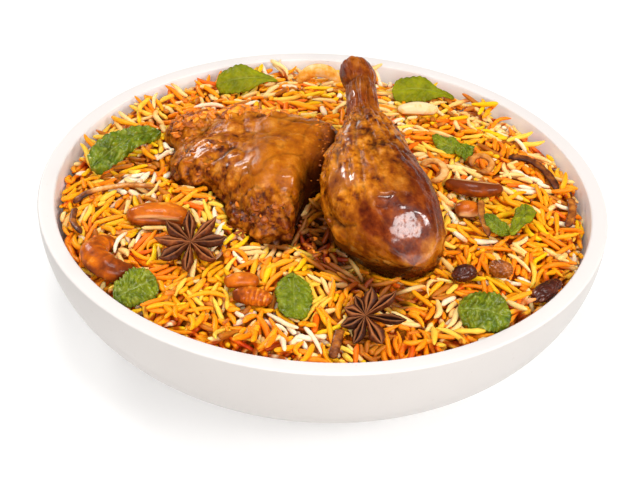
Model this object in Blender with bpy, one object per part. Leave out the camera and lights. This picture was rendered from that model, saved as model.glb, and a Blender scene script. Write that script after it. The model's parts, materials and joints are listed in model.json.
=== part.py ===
"""Biryani in its bowl: a heap of rice in a round ceramic bowl, a chicken drumstick
and a chicken thigh sunk into it, and star anise, cashews, mint leaves, fried onion
and raisins lying on top."""

import math

import bmesh
import bpy
from mathutils import Matrix, Vector, geometry, noise
from mathutils.bvhtree import BVHTree

# Sizes are in metres. The bowl stands on z = 0 round the z axis, its front towards -y.
GAP = 0.0004
SEAT_GAP = 0.0008
SEGMENTS = 48

BOWL_RADIUS = 0.115
BOWL_HEIGHT = 0.055
FOOT_RADIUS = 0.060
RIM_WIDTH = 0.0067
RIM_ROUNDING = 0.0014
FLOOR_HEIGHT = 0.007
INNER_FOOT_RADIUS = 0.056
OUTER_STATIONS = 6
INNER_STATIONS = 5

RICE_EDGE_HEIGHT = 0.0486
RICE_DOME_RISE = 0.0150
RICE_BUMP = 0.0030
RICE_BUMP_SIZE = 0.020
RICE_POINT_SPACING = 0.0074

# The knuckle end of the drumstick, the direction of its bone, and (distance along the
# bone, radius, shift to the right) for each ring of its skin.
KNUCKLE = Vector((0.0094, 0.0591, 0.0829))
BONE_TOWARDS = Vector((0.1460, -0.9785, -0.1417))
DRUMSTICK_RINGS = (
    (0.0040, 0.0038, 0.0000),
    (0.0052, 0.0060, 0.0000),
    (0.0078, 0.0070, 0.0000),
    (0.0120, 0.0071, 0.0005),
    (0.0180, 0.0067, 0.0008),
    (0.0270, 0.0064, 0.0003),
    (0.0370, 0.0067, -0.0004),
    (0.0430, 0.0077, -0.0006),
    (0.0480, 0.0096, -0.0002),
    (0.0540, 0.0120, -0.0004),
    (0.0610, 0.0143, -0.0016),
    (0.0690, 0.0163, -0.0028),
    (0.0780, 0.0186, -0.0026),
    (0.0880, 0.0204, -0.0016),
    (0.0980, 0.0210, -0.0007),
    (0.1060, 0.0200, 0.0008),
    (0.1130, 0.0174, 0.0029),
    (0.1190, 0.0134, 0.0050),
    (0.1230, 0.0088, 0.0064),
    (0.1250, 0.0040, 0.0070),
)
DRUMSTICK_SIDES = 16
DRUMSTICK_FLATTEN = 0.92

# The lobes of meat that grow together into the thigh: centre, three radii, and turns
# about x, y and z in degrees.
THIGH_LOBES = (
    ((-0.0190, -0.0030, 0.0610), (0.0270, 0.0300, 0.0180), (-12, 0, 0)),
    ((-0.0208, -0.0300, 0.0580), (0.0188, 0.0170, 0.0120), (-18, 0, 0)),
    ((-0.0430, 0.0080, 0.0590), (0.0220, 0.0190, 0.0130), (-10, -8, 0)),
    ((-0.0540, -0.0020, 0.0600), (0.0100, 0.0090, 0.0080), (0, 0, 0)),
    ((-0.0180, 0.0180, 0.0620), (0.0230, 0.0150, 0.0150), (0, 6, 0)),
    ((-0.0045, 0.0130, 0.0630), (0.0140, 0.0170, 0.0150), (0, 0, 0)),
    ((-0.0340, 0.0260, 0.0620), (0.0170, 0.0120, 0.0130), (0, 0, 0)),
    ((-0.0520, 0.0290, 0.0600), (0.0180, 0.0110, 0.0105), (0, 0, 10)),
)
THIGH_VOXEL = 0.0040
THIGH_KEPT = 0.31

# Each star anise: centre, length of its arms, how much longer they grow on one side and
# which way that side lies, first arm's heading, how far it faces the front and then the
# right, and how high its middle lies on the rice.
ANISE_ARMS = 8
ANISE_STARS = (
    ((-0.0492, -0.0500), 0.0142, 0.0006, 180, 4, -4, 0, 0.0022),
    ((0.0178, -0.0850), 0.0118, 0.0042, -30, 20, 30, -20, 0.0042),
)
ANISE_ARM_WIDTH = 0.0056
ANISE_ARM_HEIGHT = 0.0050

# Each cashew: where its middle lies, length along the curve, thickness, heading, how
# far its ends curl round, how far it leans, and how high its middle lies on the rice.
CASHEWS = (
    ((-0.0640, -0.0310), 0.0240, 0.0116, 4, 50, -10, 0.0020),
    ((-0.0795, -0.0530), 0.0350, 0.0108, 120, 200, 12, 0.0020),
    ((-0.0285, -0.0685), 0.0130, 0.0070, 5, 30, 10, 0.0022),
    ((-0.0240, -0.0764), 0.0150, 0.0072, -8, 30, 10, 0.0022),
    ((0.0390, 0.0600), 0.0175, 0.0072, 6, 40, 0, 0.0025),
    ((-0.0050, 0.0900), 0.0260, 0.0062, 2, 160, 84, 0.0030),
    ((0.0605, -0.0005), 0.0240, 0.0078, 174, 60, 5, 0.0028),
    ((0.0572, -0.0155), 0.0098, 0.0086, 10, 10, 0, 0.0020),
)

# Each mint leaf: stem end, tip, width, roll about its length, droop of its ends.
MINT_LEAVES = (
    ((-0.0712, 0.0290), (-0.0955, 0.0025), 0.0118, -34, 0.45),
    ((-0.0265, 0.0845), (-0.0510, 0.0795), 0.0130, -36, 0.30),
    ((0.0560, 0.0850), (0.0280, 0.0820), 0.0125, -30, 0.20),
    ((0.0550, 0.0290), (0.0445, 0.0345), 0.0075, -20, 0.20),
    ((0.0562, 0.0280), (0.0580, 0.0185), 0.0065, 15, 0.20),
    ((0.0735, -0.0318), (0.0625, -0.0280), 0.0068, -25, 0.10),
    ((0.0748, -0.0325), (0.0820, -0.0105), 0.0080, -15, 0.10),
    ((0.0513, -0.0745), (0.0713, -0.0740), 0.0155, 24, 0.20),
    ((-0.0095, -0.0670), (-0.0080, -0.0868), 0.0132, 0, 0.10),
    ((-0.0747, -0.0748), (-0.0602, -0.0675), 0.0150, 20, 0.15),
)
LEAF_THICKNESS = 0.0008
LEAF_STATIONS = 6
LEAF_FOLD = 0.22

# Each strand of fried onion: points it passes over, width, thickness.
ONION_STRANDS = (
    (((-0.1000, -0.0135), (-0.0930, -0.0075), (-0.0800, -0.0065), (-0.0680, -0.0100)), 0.0030, 0.0016),
    (((-0.0985, -0.0180), (-0.0980, -0.0270), (-0.0935, -0.0350)), 0.0034, 0.0018),
    (((0.0775, 0.0310), (0.0855, 0.0300), (0.0925, 0.0230), (0.0965, 0.0130)), 0.0036, 0.0018),
    (((0.1015, 0.0085), (0.1015, -0.0020), (0.0985, -0.0115)), 0.0034, 0.0017),
    (((0.0085, -0.0890), (0.0075, -0.0955), (0.0062, -0.1015)), 0.0036, 0.0018),
    (((0.0625, -0.0120), (0.0622, -0.0240), (0.0640, -0.0370)), 0.0028, 0.0015),
)
# Each curl of onion: centre, radius of the curl, width, tilt, how far round it goes.
ONION_CURLS = (
    ((0.0645, 0.0175), 0.0042, 0.0030, 18, 300),
    ((0.0435, 0.0045), 0.0050, 0.0034, 20, 250),
)

# Each raisin or dark piece of onion: centre, three radii, heading.
RAISINS = (
    ((0.0540, -0.0585), (0.0052, 0.0036, 0.0034), 20),
    ((0.0680, -0.0540), (0.0048, 0.0036, 0.0034), -15),
    ((0.0855, -0.0575), (0.0085, 0.0038, 0.0034), 48),
)


def clear_scene():
    for ob in list(bpy.data.objects):
        bpy.data.objects.remove(ob, do_unlink=True)


def material(name, colour, roughness):
    made = bpy.data.materials.new(name)
    made.use_nodes = True
    shader = made.node_tree.nodes["Principled BSDF"]
    shader.inputs["Base Color"].default_value = (*colour, 1.0)
    shader.inputs["Roughness"].default_value = roughness
    return made


def add_object(name, mesh, mat, smooth=True):
    ob = bpy.data.objects.new(name, mesh)
    bpy.context.scene.collection.objects.link(ob)
    mesh.materials.append(mat)
    for face in mesh.polygons:
        face.use_smooth = smooth
    return ob


def mesh_from(name, points, faces):
    """A mesh of these points and faces, its faces turned to look outwards."""
    mesh = bpy.data.meshes.new(name)
    mesh.from_pydata([tuple(p) for p in points], [], faces)
    bm = bmesh.new()
    bm.from_mesh(mesh)
    bmesh.ops.recalc_face_normals(bm, faces=bm.faces)
    bm.to_mesh(mesh)
    bm.free()
    mesh.validate()
    return mesh


def loft(rings):
    """Points and faces of a closed body through rings of points, capped at both ends."""
    sides = len(rings[0])
    points = [p for ring in rings for p in ring]
    faces = [tuple(range(sides))]
    for i in range(len(rings) - 1):
        for j in range(sides):
            a = i * sides + j
            b = i * sides + (j + 1) % sides
            faces.append((a, b, b + sides, a + sides))
    last = (len(rings) - 1) * sides
    faces.append(tuple(range(last, last + sides)))
    return points, faces


def evaluated(ob):
    """The mesh that ob's modifiers make, in world coordinates, as a new mesh."""
    graph = bpy.context.evaluated_depsgraph_get()
    mesh = bpy.data.meshes.new_from_object(ob.evaluated_get(graph))
    mesh.transform(ob.matrix_world)
    return mesh


def cutter_from(ob, by):
    """A copy of ob, grown by this distance, that cuts its seat in another piece."""
    mesh = evaluated(ob)
    normals = [v.normal.copy() for v in mesh.vertices]
    for vertex, normal in zip(mesh.vertices, normals):
        vertex.co += normal * by
    cutter = bpy.data.objects.new("seat_of_" + ob.name, mesh)
    bpy.context.scene.collection.objects.link(cutter)
    cutter.hide_render = True
    cutter.display_type = "WIRE"
    return cutter


def cut(ob, cutter):
    """Takes the cutter's body out of ob."""
    boolean = ob.modifiers.new(cutter.name, "BOOLEAN")
    boolean.operation = "DIFFERENCE"
    boolean.solver = "EXACT"
    boolean.object = cutter


def triangles_of(ob):
    mesh = evaluated(ob)
    mesh.calc_loop_triangles()
    points = [v.co.copy() for v in mesh.vertices]
    faces = [tuple(t.vertices) for t in mesh.loop_triangles]
    bpy.data.meshes.remove(mesh)
    return points, faces


class Ground:
    """What later pieces come to rest on: the tops of the pieces already laid."""

    def __init__(self):
        self.points = []
        self.faces = []
        self.tree = None

    def add(self, ob):
        points, faces = triangles_of(ob)
        start = len(self.points)
        self.points += points
        self.faces += [tuple(start + i for i in face) for face in faces]
        self.tree = BVHTree.FromPolygons(self.points, self.faces)

    def height(self, x, y):
        hit = self.tree.ray_cast(Vector((x, y, 0.3)), Vector((0, 0, -1)))[0]
        return hit.z if hit else 0.0

    def settle(self, ob, gap=GAP):
        """Moves ob straight up or down until it just clears the ground."""
        points, faces = triangles_of(ob)
        own = BVHTree.FromPolygons(points, faces)
        clear = [p.z - self.height(p.x, p.y) for p in points]
        low = min(p.x for p in points), min(p.y for p in points)
        high = max(p.x for p in points), max(p.y for p in points)
        for p in self.points:
            if low[0] < p.x < high[0] and low[1] < p.y < high[1]:
                if p.z < self.height(p.x, p.y) - 1e-5:
                    continue
                hit = own.ray_cast(Vector((p.x, p.y, -0.1)), Vector((0, 0, 1)))[0]
                if hit:
                    clear.append(hit.z - p.z)
        ob.data.transform(Matrix.Translation((0, 0, gap - min(clear))))
        while self.touches(ob):
            ob.data.transform(Matrix.Translation((0, 0, gap)))

    def touches(self, ob):
        points, faces = triangles_of(ob)
        return bool(BVHTree.FromPolygons(points, faces).overlap(self.tree))


# The bowl


def cubic(a, b, c, d, t):
    s = 1.0 - t
    return s**3 * a + 3 * s * s * t * b + 3 * s * t * t * c + t**3 * d


def wall_profile(radius, foot, floor, stations):
    """Points (radius, height) down one face of the wall, from below the rim to its foot."""
    profile = []
    for i in range(stations):
        t = 0.06 + 0.90 * i / (stations - 1)
        across = cubic(radius, radius, foot + 0.3 * (radius - foot), foot, t)
        up = cubic(BOWL_HEIGHT, floor + 0.3 * (BOWL_HEIGHT - floor), floor, floor, t)
        profile.append((across, up))
    return profile


def rounded_edge(radius, outwards):
    """Two points round an edge of the rim, from the wall up to the flat on top."""
    r = RIM_ROUNDING
    return [(radius, BOWL_HEIGHT - r), (radius - outwards * r, BOWL_HEIGHT)]


def inner_profile():
    radius = BOWL_RADIUS - RIM_WIDTH
    return wall_profile(radius, INNER_FOOT_RADIUS, FLOOR_HEIGHT, INNER_STATIONS)


def revolve(name, profile):
    """A body turned from (radius, height) points, whose first and last lie on the axis."""
    points = [Vector((0, 0, profile[0][1]))]
    for radius, height in profile[1:-1]:
        for j in range(SEGMENTS):
            angle = 2 * math.pi * j / SEGMENTS
            points.append(Vector((radius * math.cos(angle), radius * math.sin(angle), height)))
    points.append(Vector((0, 0, profile[-1][1])))
    faces = []
    rings = len(profile) - 2
    for j in range(SEGMENTS):
        k = (j + 1) % SEGMENTS
        faces.append((0, 1 + j, 1 + k))
        for i in range(rings - 1):
            a = 1 + i * SEGMENTS
            b = a + SEGMENTS
            faces.append((a + j, a + k, b + k, b + j))
        end = 1 + (rings - 1) * SEGMENTS
        faces.append((end + j, end + k, len(points) - 1))
    return mesh_from(name, points, faces)


def build_bowl(mat):
    outer = wall_profile(BOWL_RADIUS, FOOT_RADIUS, 0.0, OUTER_STATIONS)
    rim_outside = rounded_edge(BOWL_RADIUS, 1)
    rim_inside = rounded_edge(BOWL_RADIUS - RIM_WIDTH, -1)
    foot = [(0, 0), (FOOT_RADIUS, 0)]
    floor = [(INNER_FOOT_RADIUS - 0.004, FLOOR_HEIGHT), (0, FLOOR_HEIGHT)]
    profile = foot + outer[::-1] + rim_outside + rim_inside[::-1] + inner_profile() + floor
    return add_object("bowl", revolve("bowl", profile), mat)


# The rice


def bump(x, y, seed):
    """Uneven ground between -1 and 1, with lumps of about RICE_BUMP_SIZE."""
    at = Vector((x / RICE_BUMP_SIZE, y / RICE_BUMP_SIZE, seed))
    return noise.noise(at) + 0.5 * noise.noise(at * 2.1)


def rice_height(x, y):
    """How high the top of the rice lies over this place."""
    reach = BOWL_RADIUS - RIM_WIDTH
    across = min(1.0, math.hypot(x, y) / reach)
    dome = RICE_EDGE_HEIGHT + RICE_DOME_RISE * (1.0 - across**2)
    return dome + RICE_BUMP * bump(x, y, 3.7) * (1.0 - 0.5 * across**4)


def radius_inside(height):
    """The radius of the bowl's inner face at this height."""
    profile = inner_profile()
    for (r1, z1), (r2, z2) in zip(profile, profile[1:]):
        if z2 <= height <= z1:
            return r2 + (r1 - r2) * (height - z2) / (z1 - z2)
    return profile[0][0]


def build_rice(mat):
    """The heap as one body: a bumpy top out to the wall, and an underside like the bowl's."""
    points = []
    for j in range(SEGMENTS):
        angle = 2 * math.pi * j / SEGMENTS
        height = rice_height(math.cos(angle), math.sin(angle))
        height += 0.0012 * bump(0.1 * math.cos(angle), 0.1 * math.sin(angle), 8.1)
        radius = radius_inside(height) - GAP
        points.append(Vector((radius * math.cos(angle), radius * math.sin(angle), height)))
    limit = radius_inside(RICE_EDGE_HEIGHT) - 0.8 * RICE_POINT_SPACING
    row = RICE_POINT_SPACING * math.sqrt(3) / 2
    count = int(limit / row) + 1
    for i in range(-count, count + 1):
        for k in range(-count, count + 1):
            x = (k + 0.5 * (i % 2)) * RICE_POINT_SPACING
            y = i * row
            x += 0.0012 * noise.noise(Vector((300 * x, 300 * y, 1.3)))
            y += 0.0012 * noise.noise(Vector((300 * x, 300 * y, 6.3)))
            if math.hypot(x, y) < limit:
                points.append(Vector((x, y, rice_height(x, y))))
    flat = [p.to_2d() for p in points]
    edge = [(j, (j + 1) % SEGMENTS) for j in range(SEGMENTS)]
    faces = [tuple(f) for f in geometry.delaunay_2d_cdt(flat, edge, [], 0, 1e-6)[2]]

    above = list(range(SEGMENTS))
    for radius, height in inner_profile():
        if height > RICE_EDGE_HEIGHT - 0.006:
            continue
        start = len(points)
        for j in range(SEGMENTS):
            angle = 2 * math.pi * j / SEGMENTS
            ring = radius - GAP
            points.append(
                Vector((ring * math.cos(angle), ring * math.sin(angle), height + GAP))
            )
        for j in range(SEGMENTS):
            k = (j + 1) % SEGMENTS
            faces.append((above[j], above[k], start + k, start + j))
        above = list(range(start, start + SEGMENTS))
    faces.append(tuple(above))
    return add_object("rice_heap", mesh_from("rice_heap", points, faces), mat)


# The chicken


def build_drumstick(mat):
    along = BONE_TOWARDS.normalized()
    right = along.cross(Vector((0, 0, 1))).normalized() * -1
    up = right.cross(along).normalized()
    rings = []
    for distance, radius, shift in DRUMSTICK_RINGS:
        centre = KNUCKLE + along * distance + right * shift
        thick = min(1.0, radius / 0.02)
        squash = 1.0 - (1.0 - DRUMSTICK_FLATTEN) * thick
        ring = []
        for j in range(DRUMSTICK_SIDES):
            angle = 2 * math.pi * j / DRUMSTICK_SIDES
            fold = 1.0 + 0.035 * thick * math.sin(3 * angle + 40 * distance)
            side = right * math.cos(angle) * radius * fold
            top = up * math.sin(angle) * radius * fold * squash
            ring.append(centre + side + top)
        rings.append(ring)
    points, faces = loft(rings)
    mesh = mesh_from("chicken_drumstick", points, faces)
    return add_object("chicken_drumstick", mesh, mat)


def build_thigh(mat):
    """Lobes of meat grown together into one skin."""
    bm = bmesh.new()
    for centre, radii, turns in THIGH_LOBES:
        turned = Matrix.Identity(4)
        for axis, degrees in zip("XYZ", turns):
            turned = Matrix.Rotation(math.radians(degrees), 4, axis) @ turned
        place = Matrix.Translation(centre) @ turned @ Matrix.Diagonal((*radii, 1.0))
        bmesh.ops.create_icosphere(bm, subdivisions=4, radius=1.0, matrix=place)
    mesh = bpy.data.meshes.new("chicken_thigh")
    bm.to_mesh(mesh)
    bm.free()
    ob = add_object("chicken_thigh", mesh, mat)
    remesh = ob.modifiers.new("one_skin", "REMESH")
    remesh.mode = "VOXEL"
    remesh.voxel_size = THIGH_VOXEL
    remesh.use_smooth_shade = True
    smooth = ob.modifiers.new("soft_joins", "SMOOTH")
    smooth.factor = 0.6
    smooth.iterations = 4
    fewer = ob.modifiers.new("fewer_faces", "DECIMATE")
    fewer.ratio = THIGH_KEPT
    return ob


# The spices, nuts and leaves


def build_anise(name, centre, radius, extra, towards, first, tilt, lean, lift, mat):
    """Eight boat-shaped pods in a star, each split open along its top."""
    height = ANISE_ARM_HEIGHT
    points = [Vector((0, 0, 0.25 * height)), Vector((0, 0, -0.40 * height))]
    faces = []
    each = 12
    step = 2 * math.pi / ANISE_ARMS
    for i in range(ANISE_ARMS):
        heading = math.radians(first) + i * step
        longer = extra * math.cos(heading - math.radians(towards))
        length = (radius + longer) * (1.0 + 0.05 * math.sin(5.0 * i))
        turned = Matrix.Rotation(heading, 3, "Z")
        half = 0.5 * ANISE_ARM_WIDTH
        notch = Matrix.Rotation(0.5 * step, 3, "Z") @ Vector((0.30 * radius, 0, 0))
        arm = [
            Vector((length, 0, 0.40 * height)),
            Vector((0.50 * length, 0, -0.45 * height)),
            Vector((0.32 * length, 0, 0.20 * height)),
            Vector((0.74 * length, 0, 0.22 * height)),
            notch,
        ]
        for side in (1, -1):
            arm.append(Vector((0.60 * length, side * half, 0.05 * height)))
            arm.append(Vector((0.32 * length, side * 0.40 * half, 0.48 * height)))
            arm.append(Vector((0.74 * length, side * 0.42 * half, 0.58 * height)))
        arm.append(Vector((0.86 * length, 0, -0.12 * height)))
        points += [turned @ p for p in arm]

        start = 2 + i * each
        tip, keel, near_slit, far_slit, own_notch = range(start, start + 5)
        under_tip = start + 11
        last_notch = 2 + ((i - 1) % ANISE_ARMS) * each + 4
        for side, corner in ((0, own_notch), (1, last_notch)):
            edge, near_lip, far_lip = range(start + 5 + 3 * side, start + 8 + 3 * side)
            faces += [
                (0, corner, near_lip),
                (corner, edge, near_lip),
                (edge, far_lip, near_lip),
                (edge, tip, far_lip),
                (near_lip, far_lip, far_slit, near_slit),
                (0, near_lip, near_slit),
                (far_lip, tip, far_slit),
                (1, corner, keel),
                (corner, edge, keel),
                (edge, under_tip, keel),
                (edge, tip, under_tip),
            ]
    mesh = mesh_from(name, points, faces)
    place = Matrix.Translation((*centre, rice_height(*centre) + lift))
    place = place @ Matrix.Rotation(math.radians(lean), 4, "Y")
    mesh.transform(place @ Matrix.Rotation(math.radians(tilt), 4, "X"))
    return add_object(name, mesh, mat)


def build_cashew(name, centre, length, thickness, heading, curl, lean, lift, mat):
    """A curved nut, thickest in the middle, with rounded ends."""
    stations = 8
    sides = 7
    bend = math.radians(max(curl, 1))
    radius = length / bend
    rings = []
    for i in range(stations):
        t = i / (stations - 1)
        angle = bend * (t - 0.5)
        middle = Vector((radius * math.sin(angle), radius * (math.cos(angle) - 1), 0))
        outwards = Vector((math.sin(angle), math.cos(angle), 0))
        girth = 0.5 * thickness * (0.30 + 0.70 * math.sin(math.pi * (0.04 + 0.92 * t)) ** 0.6)
        ring = []
        for j in range(sides):
            turn = 2 * math.pi * j / sides
            ring.append(
                middle
                + outwards * math.cos(turn) * girth
                + Vector((0, 0, 0.85 * math.sin(turn) * girth))
            )
        rings.append(ring)
    points, faces = loft(rings)
    middle = sum(points, Vector()) / len(points)
    points = [p - middle for p in points]
    mesh = mesh_from(name, points, faces)
    place = Matrix.Translation((*centre, rice_height(*centre) + lift))
    place = place @ Matrix.Rotation(math.radians(heading), 4, "Z")
    place = place @ Matrix.Rotation(math.radians(lean), 4, "X")
    mesh.transform(place)
    return add_object(name, mesh, mat)


def build_leaf(name, stem, tip, width, roll, droop, ground, mat):
    """A thin leaf, folded a little along its midrib, whose tip and stem end droop."""
    start = Vector((*stem, ground.height(*stem)))
    end = Vector((*tip, ground.height(*tip)))
    along = (end - start).normalized()
    side = Vector((0, 0, 1)).cross(along).normalized()
    length = (end - start).length
    turned = Matrix.Rotation(math.radians(roll), 3, along)
    side = turned @ side
    up = along.cross(side).normalized()
    across = (-1.0, -0.5, 0.0, 0.5, 1.0)
    top = []
    for i in range(LEAF_STATIONS):
        t = i / (LEAF_STATIONS - 1)
        half = 0.5 * width * (0.12 + 0.88 * math.sin(math.pi * (0.06 + 0.86 * t**0.85)))
        arch = droop * length * (0.25 - (t - 0.5) ** 2)
        for v in across:
            fold = LEAF_FOLD * half * abs(v) - 0.18 * half * v * v
            top.append(start + along * (t * length) + side * (v * half) + up * (arch + fold))
    count = len(top)
    points = top + [p - up * LEAF_THICKNESS for p in top]
    row = len(across)
    faces = []
    for i in range(LEAF_STATIONS - 1):
        for j in range(row - 1):
            a = i * row + j
            quad = (a, a + 1, a + row + 1, a + row)
            faces.append(quad)
            faces.append(tuple(count + q for q in quad[::-1]))
    rim = list(range(row))
    rim += [i * row + row - 1 for i in range(1, LEAF_STATIONS)]
    rim += [(LEAF_STATIONS - 1) * row + j for j in range(row - 2, -1, -1)]
    rim += [i * row for i in range(LEAF_STATIONS - 2, 0, -1)]
    for a, b in zip(rim, rim[1:] + rim[:1]):
        faces.append((a, b, count + b, count + a))
    ob = add_object(name, mesh_from(name, points, faces), mat)
    ground.settle(ob)
    return ob


def smooth_path(points, count):
    """Evenly many places along a curve that passes near these points."""
    path = []
    for i in range(count):
        t = i / (count - 1) * (len(points) - 1)
        k = min(int(t), len(points) - 2)
        before = points[max(k - 1, 0)]
        after = points[min(k + 2, len(points) - 1)]
        u = t - k
        place = []
        for p0, p1, p2, p3 in zip(before, points[k], points[k + 1], after):
            slope1 = 0.5 * (p2 - p0)
            slope2 = 0.5 * (p3 - p1)
            place.append(
                (2 * u**3 - 3 * u**2 + 1) * p1
                + (u**3 - 2 * u**2 + u) * slope1
                + (3 * u**2 - 2 * u**3) * p2
                + (u**3 - u**2) * slope2
            )
        path.append(place)
    return path


def ribbon(name, path, width, thickness, mat):
    """A flat strip with rounded edges that follows a path of places in space."""
    rings = []
    for i, place in enumerate(path):
        ahead = path[min(i + 1, len(path) - 1)]
        behind = path[max(i - 1, 0)]
        along = (ahead - behind).normalized()
        side = along.cross(Vector((0, 0, 1))).normalized()
        up = side.cross(along).normalized()
        ends = 0.6 if i in (0, len(path) - 1) else 1.0
        ring = []
        for j in range(6):
            turn = 2 * math.pi * j / 6
            ring.append(
                place
                + side * (0.5 * width * ends * math.cos(turn))
                + up * (0.5 * thickness * ends * math.sin(turn))
            )
        rings.append(ring)
    points, faces = loft(rings)
    return add_object(name, mesh_from(name, points, faces), mat)


def build_strand(name, places, width, thickness, ground, mat):
    """A strand that drapes over whatever lies below it."""
    path = []
    for x, y in smooth_path(places, 8):
        path.append(Vector((x, y, ground.height(x, y) + thickness)))
    for _ in range(2):
        heights = [p.z for p in path]
        for i in range(1, len(path) - 1):
            path[i].z = max(heights[i], 0.5 * (heights[i - 1] + heights[i + 1]))
    ob = ribbon(name, path, width, thickness, mat)
    ground.settle(ob)
    return ob


def build_curl(name, centre, radius, width, tilt, sweep, ground, mat):
    """A strand curled round into an open ring that leans towards the front."""
    leaned = Matrix.Rotation(math.radians(tilt), 3, "X")
    path = []
    for i in range(10):
        angle = math.radians(-100 + sweep * i / 9)
        flat = Vector((radius * math.cos(angle), radius * math.sin(angle), 0))
        path.append(Vector((*centre, rice_height(*centre))) + leaned @ flat)
    ob = ribbon(name, path, width, 0.6 * width, mat)
    ground.settle(ob)
    return ob


def build_raisin(name, centre, radii, heading, ground, mat):
    bm = bmesh.new()
    bmesh.ops.create_uvsphere(bm, u_segments=8, v_segments=5, radius=1.0)
    for vertex in bm.verts:
        vertex.co *= 1.0 + 0.12 * noise.noise(vertex.co * 2.3)
    mesh = bpy.data.meshes.new(name)
    bm.to_mesh(mesh)
    bm.free()
    place = Matrix.Translation((*centre, rice_height(*centre)))
    place = place @ Matrix.Rotation(math.radians(heading), 4, "Z")
    mesh.transform(place @ Matrix.Diagonal((*radii, 1.0)))
    ob = add_object(name, mesh, mat)
    ground.settle(ob)
    return ob


def build_all():
    clear_scene()
    glaze = material("bowl_glaze", (0.86, 0.82, 0.80), 0.45)
    rice_look = material("rice", (0.90, 0.62, 0.22), 0.50)
    chicken_look = material("chicken", (0.36, 0.13, 0.03), 0.35)
    anise_look = material("star_anise", (0.10, 0.03, 0.02), 0.55)
    cashew_look = material("cashew", (0.50, 0.22, 0.06), 0.35)
    mint_look = material("mint", (0.12, 0.25, 0.03), 0.50)
    onion_look = material("fried_onion", (0.30, 0.11, 0.02), 0.45)
    raisin_look = material("raisin", (0.16, 0.05, 0.02), 0.35)

    build_bowl(glaze)
    rice = build_rice(rice_look)
    drumstick = build_drumstick(chicken_look)
    thigh = build_thigh(chicken_look)
    cut(thigh, cutter_from(drumstick, GAP))

    sunk = [drumstick, thigh]
    for i, nut in enumerate(CASHEWS):
        sunk.append(build_cashew("cashew_%d" % (i + 1), *nut, cashew_look))
    for i, star in enumerate(ANISE_STARS):
        sunk.append(build_anise("star_anise_%d" % (i + 1), *star, anise_look))
    for ob in sunk:
        cut(rice, cutter_from(ob, SEAT_GAP))

    ground = Ground()
    ground.add(rice)
    for ob in sunk:
        ground.add(ob)
    laid = []
    for i, curl in enumerate(ONION_CURLS):
        laid.append(build_curl("onion_curl_%d" % (i + 1), *curl, ground, onion_look))
        ground.add(laid[-1])
    for i, strand in enumerate(ONION_STRANDS):
        laid.append(build_strand("onion_strand_%d" % (i + 1), *strand, ground, onion_look))
        ground.add(laid[-1])
    for i, raisin in enumerate(RAISINS):
        laid.append(build_raisin("raisin_%d" % (i + 1), *raisin, ground, raisin_look))
        ground.add(laid[-1])
    for i, leaf in enumerate(MINT_LEAVES):
        laid.append(build_leaf("mint_leaf_%02d" % (i + 1), *leaf, ground, mint_look))
        ground.add(laid[-1])


build_all()
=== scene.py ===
import json
import math

import bmesh
import bpy
import numpy as np
from mathutils import Matrix, Vector, noise
from mathutils.bvhtree import BVHTree


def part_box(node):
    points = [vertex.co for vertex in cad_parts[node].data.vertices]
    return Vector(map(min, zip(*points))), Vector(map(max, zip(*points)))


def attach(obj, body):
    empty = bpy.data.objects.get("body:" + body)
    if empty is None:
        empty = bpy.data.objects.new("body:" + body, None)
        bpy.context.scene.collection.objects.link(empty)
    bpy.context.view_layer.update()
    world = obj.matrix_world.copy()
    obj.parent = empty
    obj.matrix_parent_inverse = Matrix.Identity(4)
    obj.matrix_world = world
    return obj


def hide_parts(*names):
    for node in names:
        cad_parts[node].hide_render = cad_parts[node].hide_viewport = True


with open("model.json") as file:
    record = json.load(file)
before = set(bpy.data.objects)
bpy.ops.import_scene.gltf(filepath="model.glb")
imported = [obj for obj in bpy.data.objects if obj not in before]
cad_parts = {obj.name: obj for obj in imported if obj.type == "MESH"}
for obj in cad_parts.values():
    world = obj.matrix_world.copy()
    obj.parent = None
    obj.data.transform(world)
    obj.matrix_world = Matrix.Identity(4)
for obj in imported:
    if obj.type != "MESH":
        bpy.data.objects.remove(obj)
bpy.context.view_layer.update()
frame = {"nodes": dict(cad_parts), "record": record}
print("frame loaded:", len(frame["nodes"]), "nodes")

# Metres throughout. The bowl stands on z = 0 with its front towards -y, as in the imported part.


# Meshes

def makeObject(name, points, faces, finish, tags=None, smooth=True):
    mesh = bpy.data.meshes.new(name)
    points = np.asarray(points, np.float32).reshape(-1, 3)
    sizes = np.concatenate([np.full(len(f), np.shape(f)[1], np.int32) for f in faces])
    corners = np.concatenate([np.asarray(f, np.int32).ravel() for f in faces])
    mesh.vertices.add(len(points))
    mesh.vertices.foreach_set("co", points.ravel())
    mesh.loops.add(len(corners))
    mesh.loops.foreach_set("vertex_index", corners)
    mesh.polygons.add(len(sizes))
    mesh.polygons.foreach_set("loop_start", np.concatenate([[0], np.cumsum(sizes)[:-1]]).astype(np.int32))
    mesh.polygons.foreach_set("use_smooth", np.full(len(sizes), smooth))
    for tag, values in (tags or {}).items():
        layer = mesh.attributes.new(tag, "FLOAT", "POINT")
        layer.data.foreach_set("value", np.asarray(values, np.float32).ravel())
    mesh.update(calc_edges=True)
    mesh.validate()
    return placeMesh(name, mesh, finish)


def placeMesh(name, mesh, finish):
    made = bpy.data.objects.new(name, mesh)
    bpy.context.scene.collection.objects.link(made)
    mesh.materials.clear()
    mesh.materials.append(finish)
    return made


def settlePiece(made, slot, *nodes):  # it rides with the dish and stands for these nodes
    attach(made, "root")
    if nodes:
        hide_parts(*nodes)
    print("made", made.name, sum(len(p.vertices) - 2 for p in made.data.polygons), "triangles")
    return made


def ringFaces(rings, around, start=0):  # quads between neighbouring rings of a tube
    i, j = np.meshgrid(np.arange(rings - 1), np.arange(around), indexing="ij")
    a = start + i * around + j
    b = start + i * around + (j + 1) % around
    return np.stack([a, b, b + around, a + around], -1).reshape(-1, 4)


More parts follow.
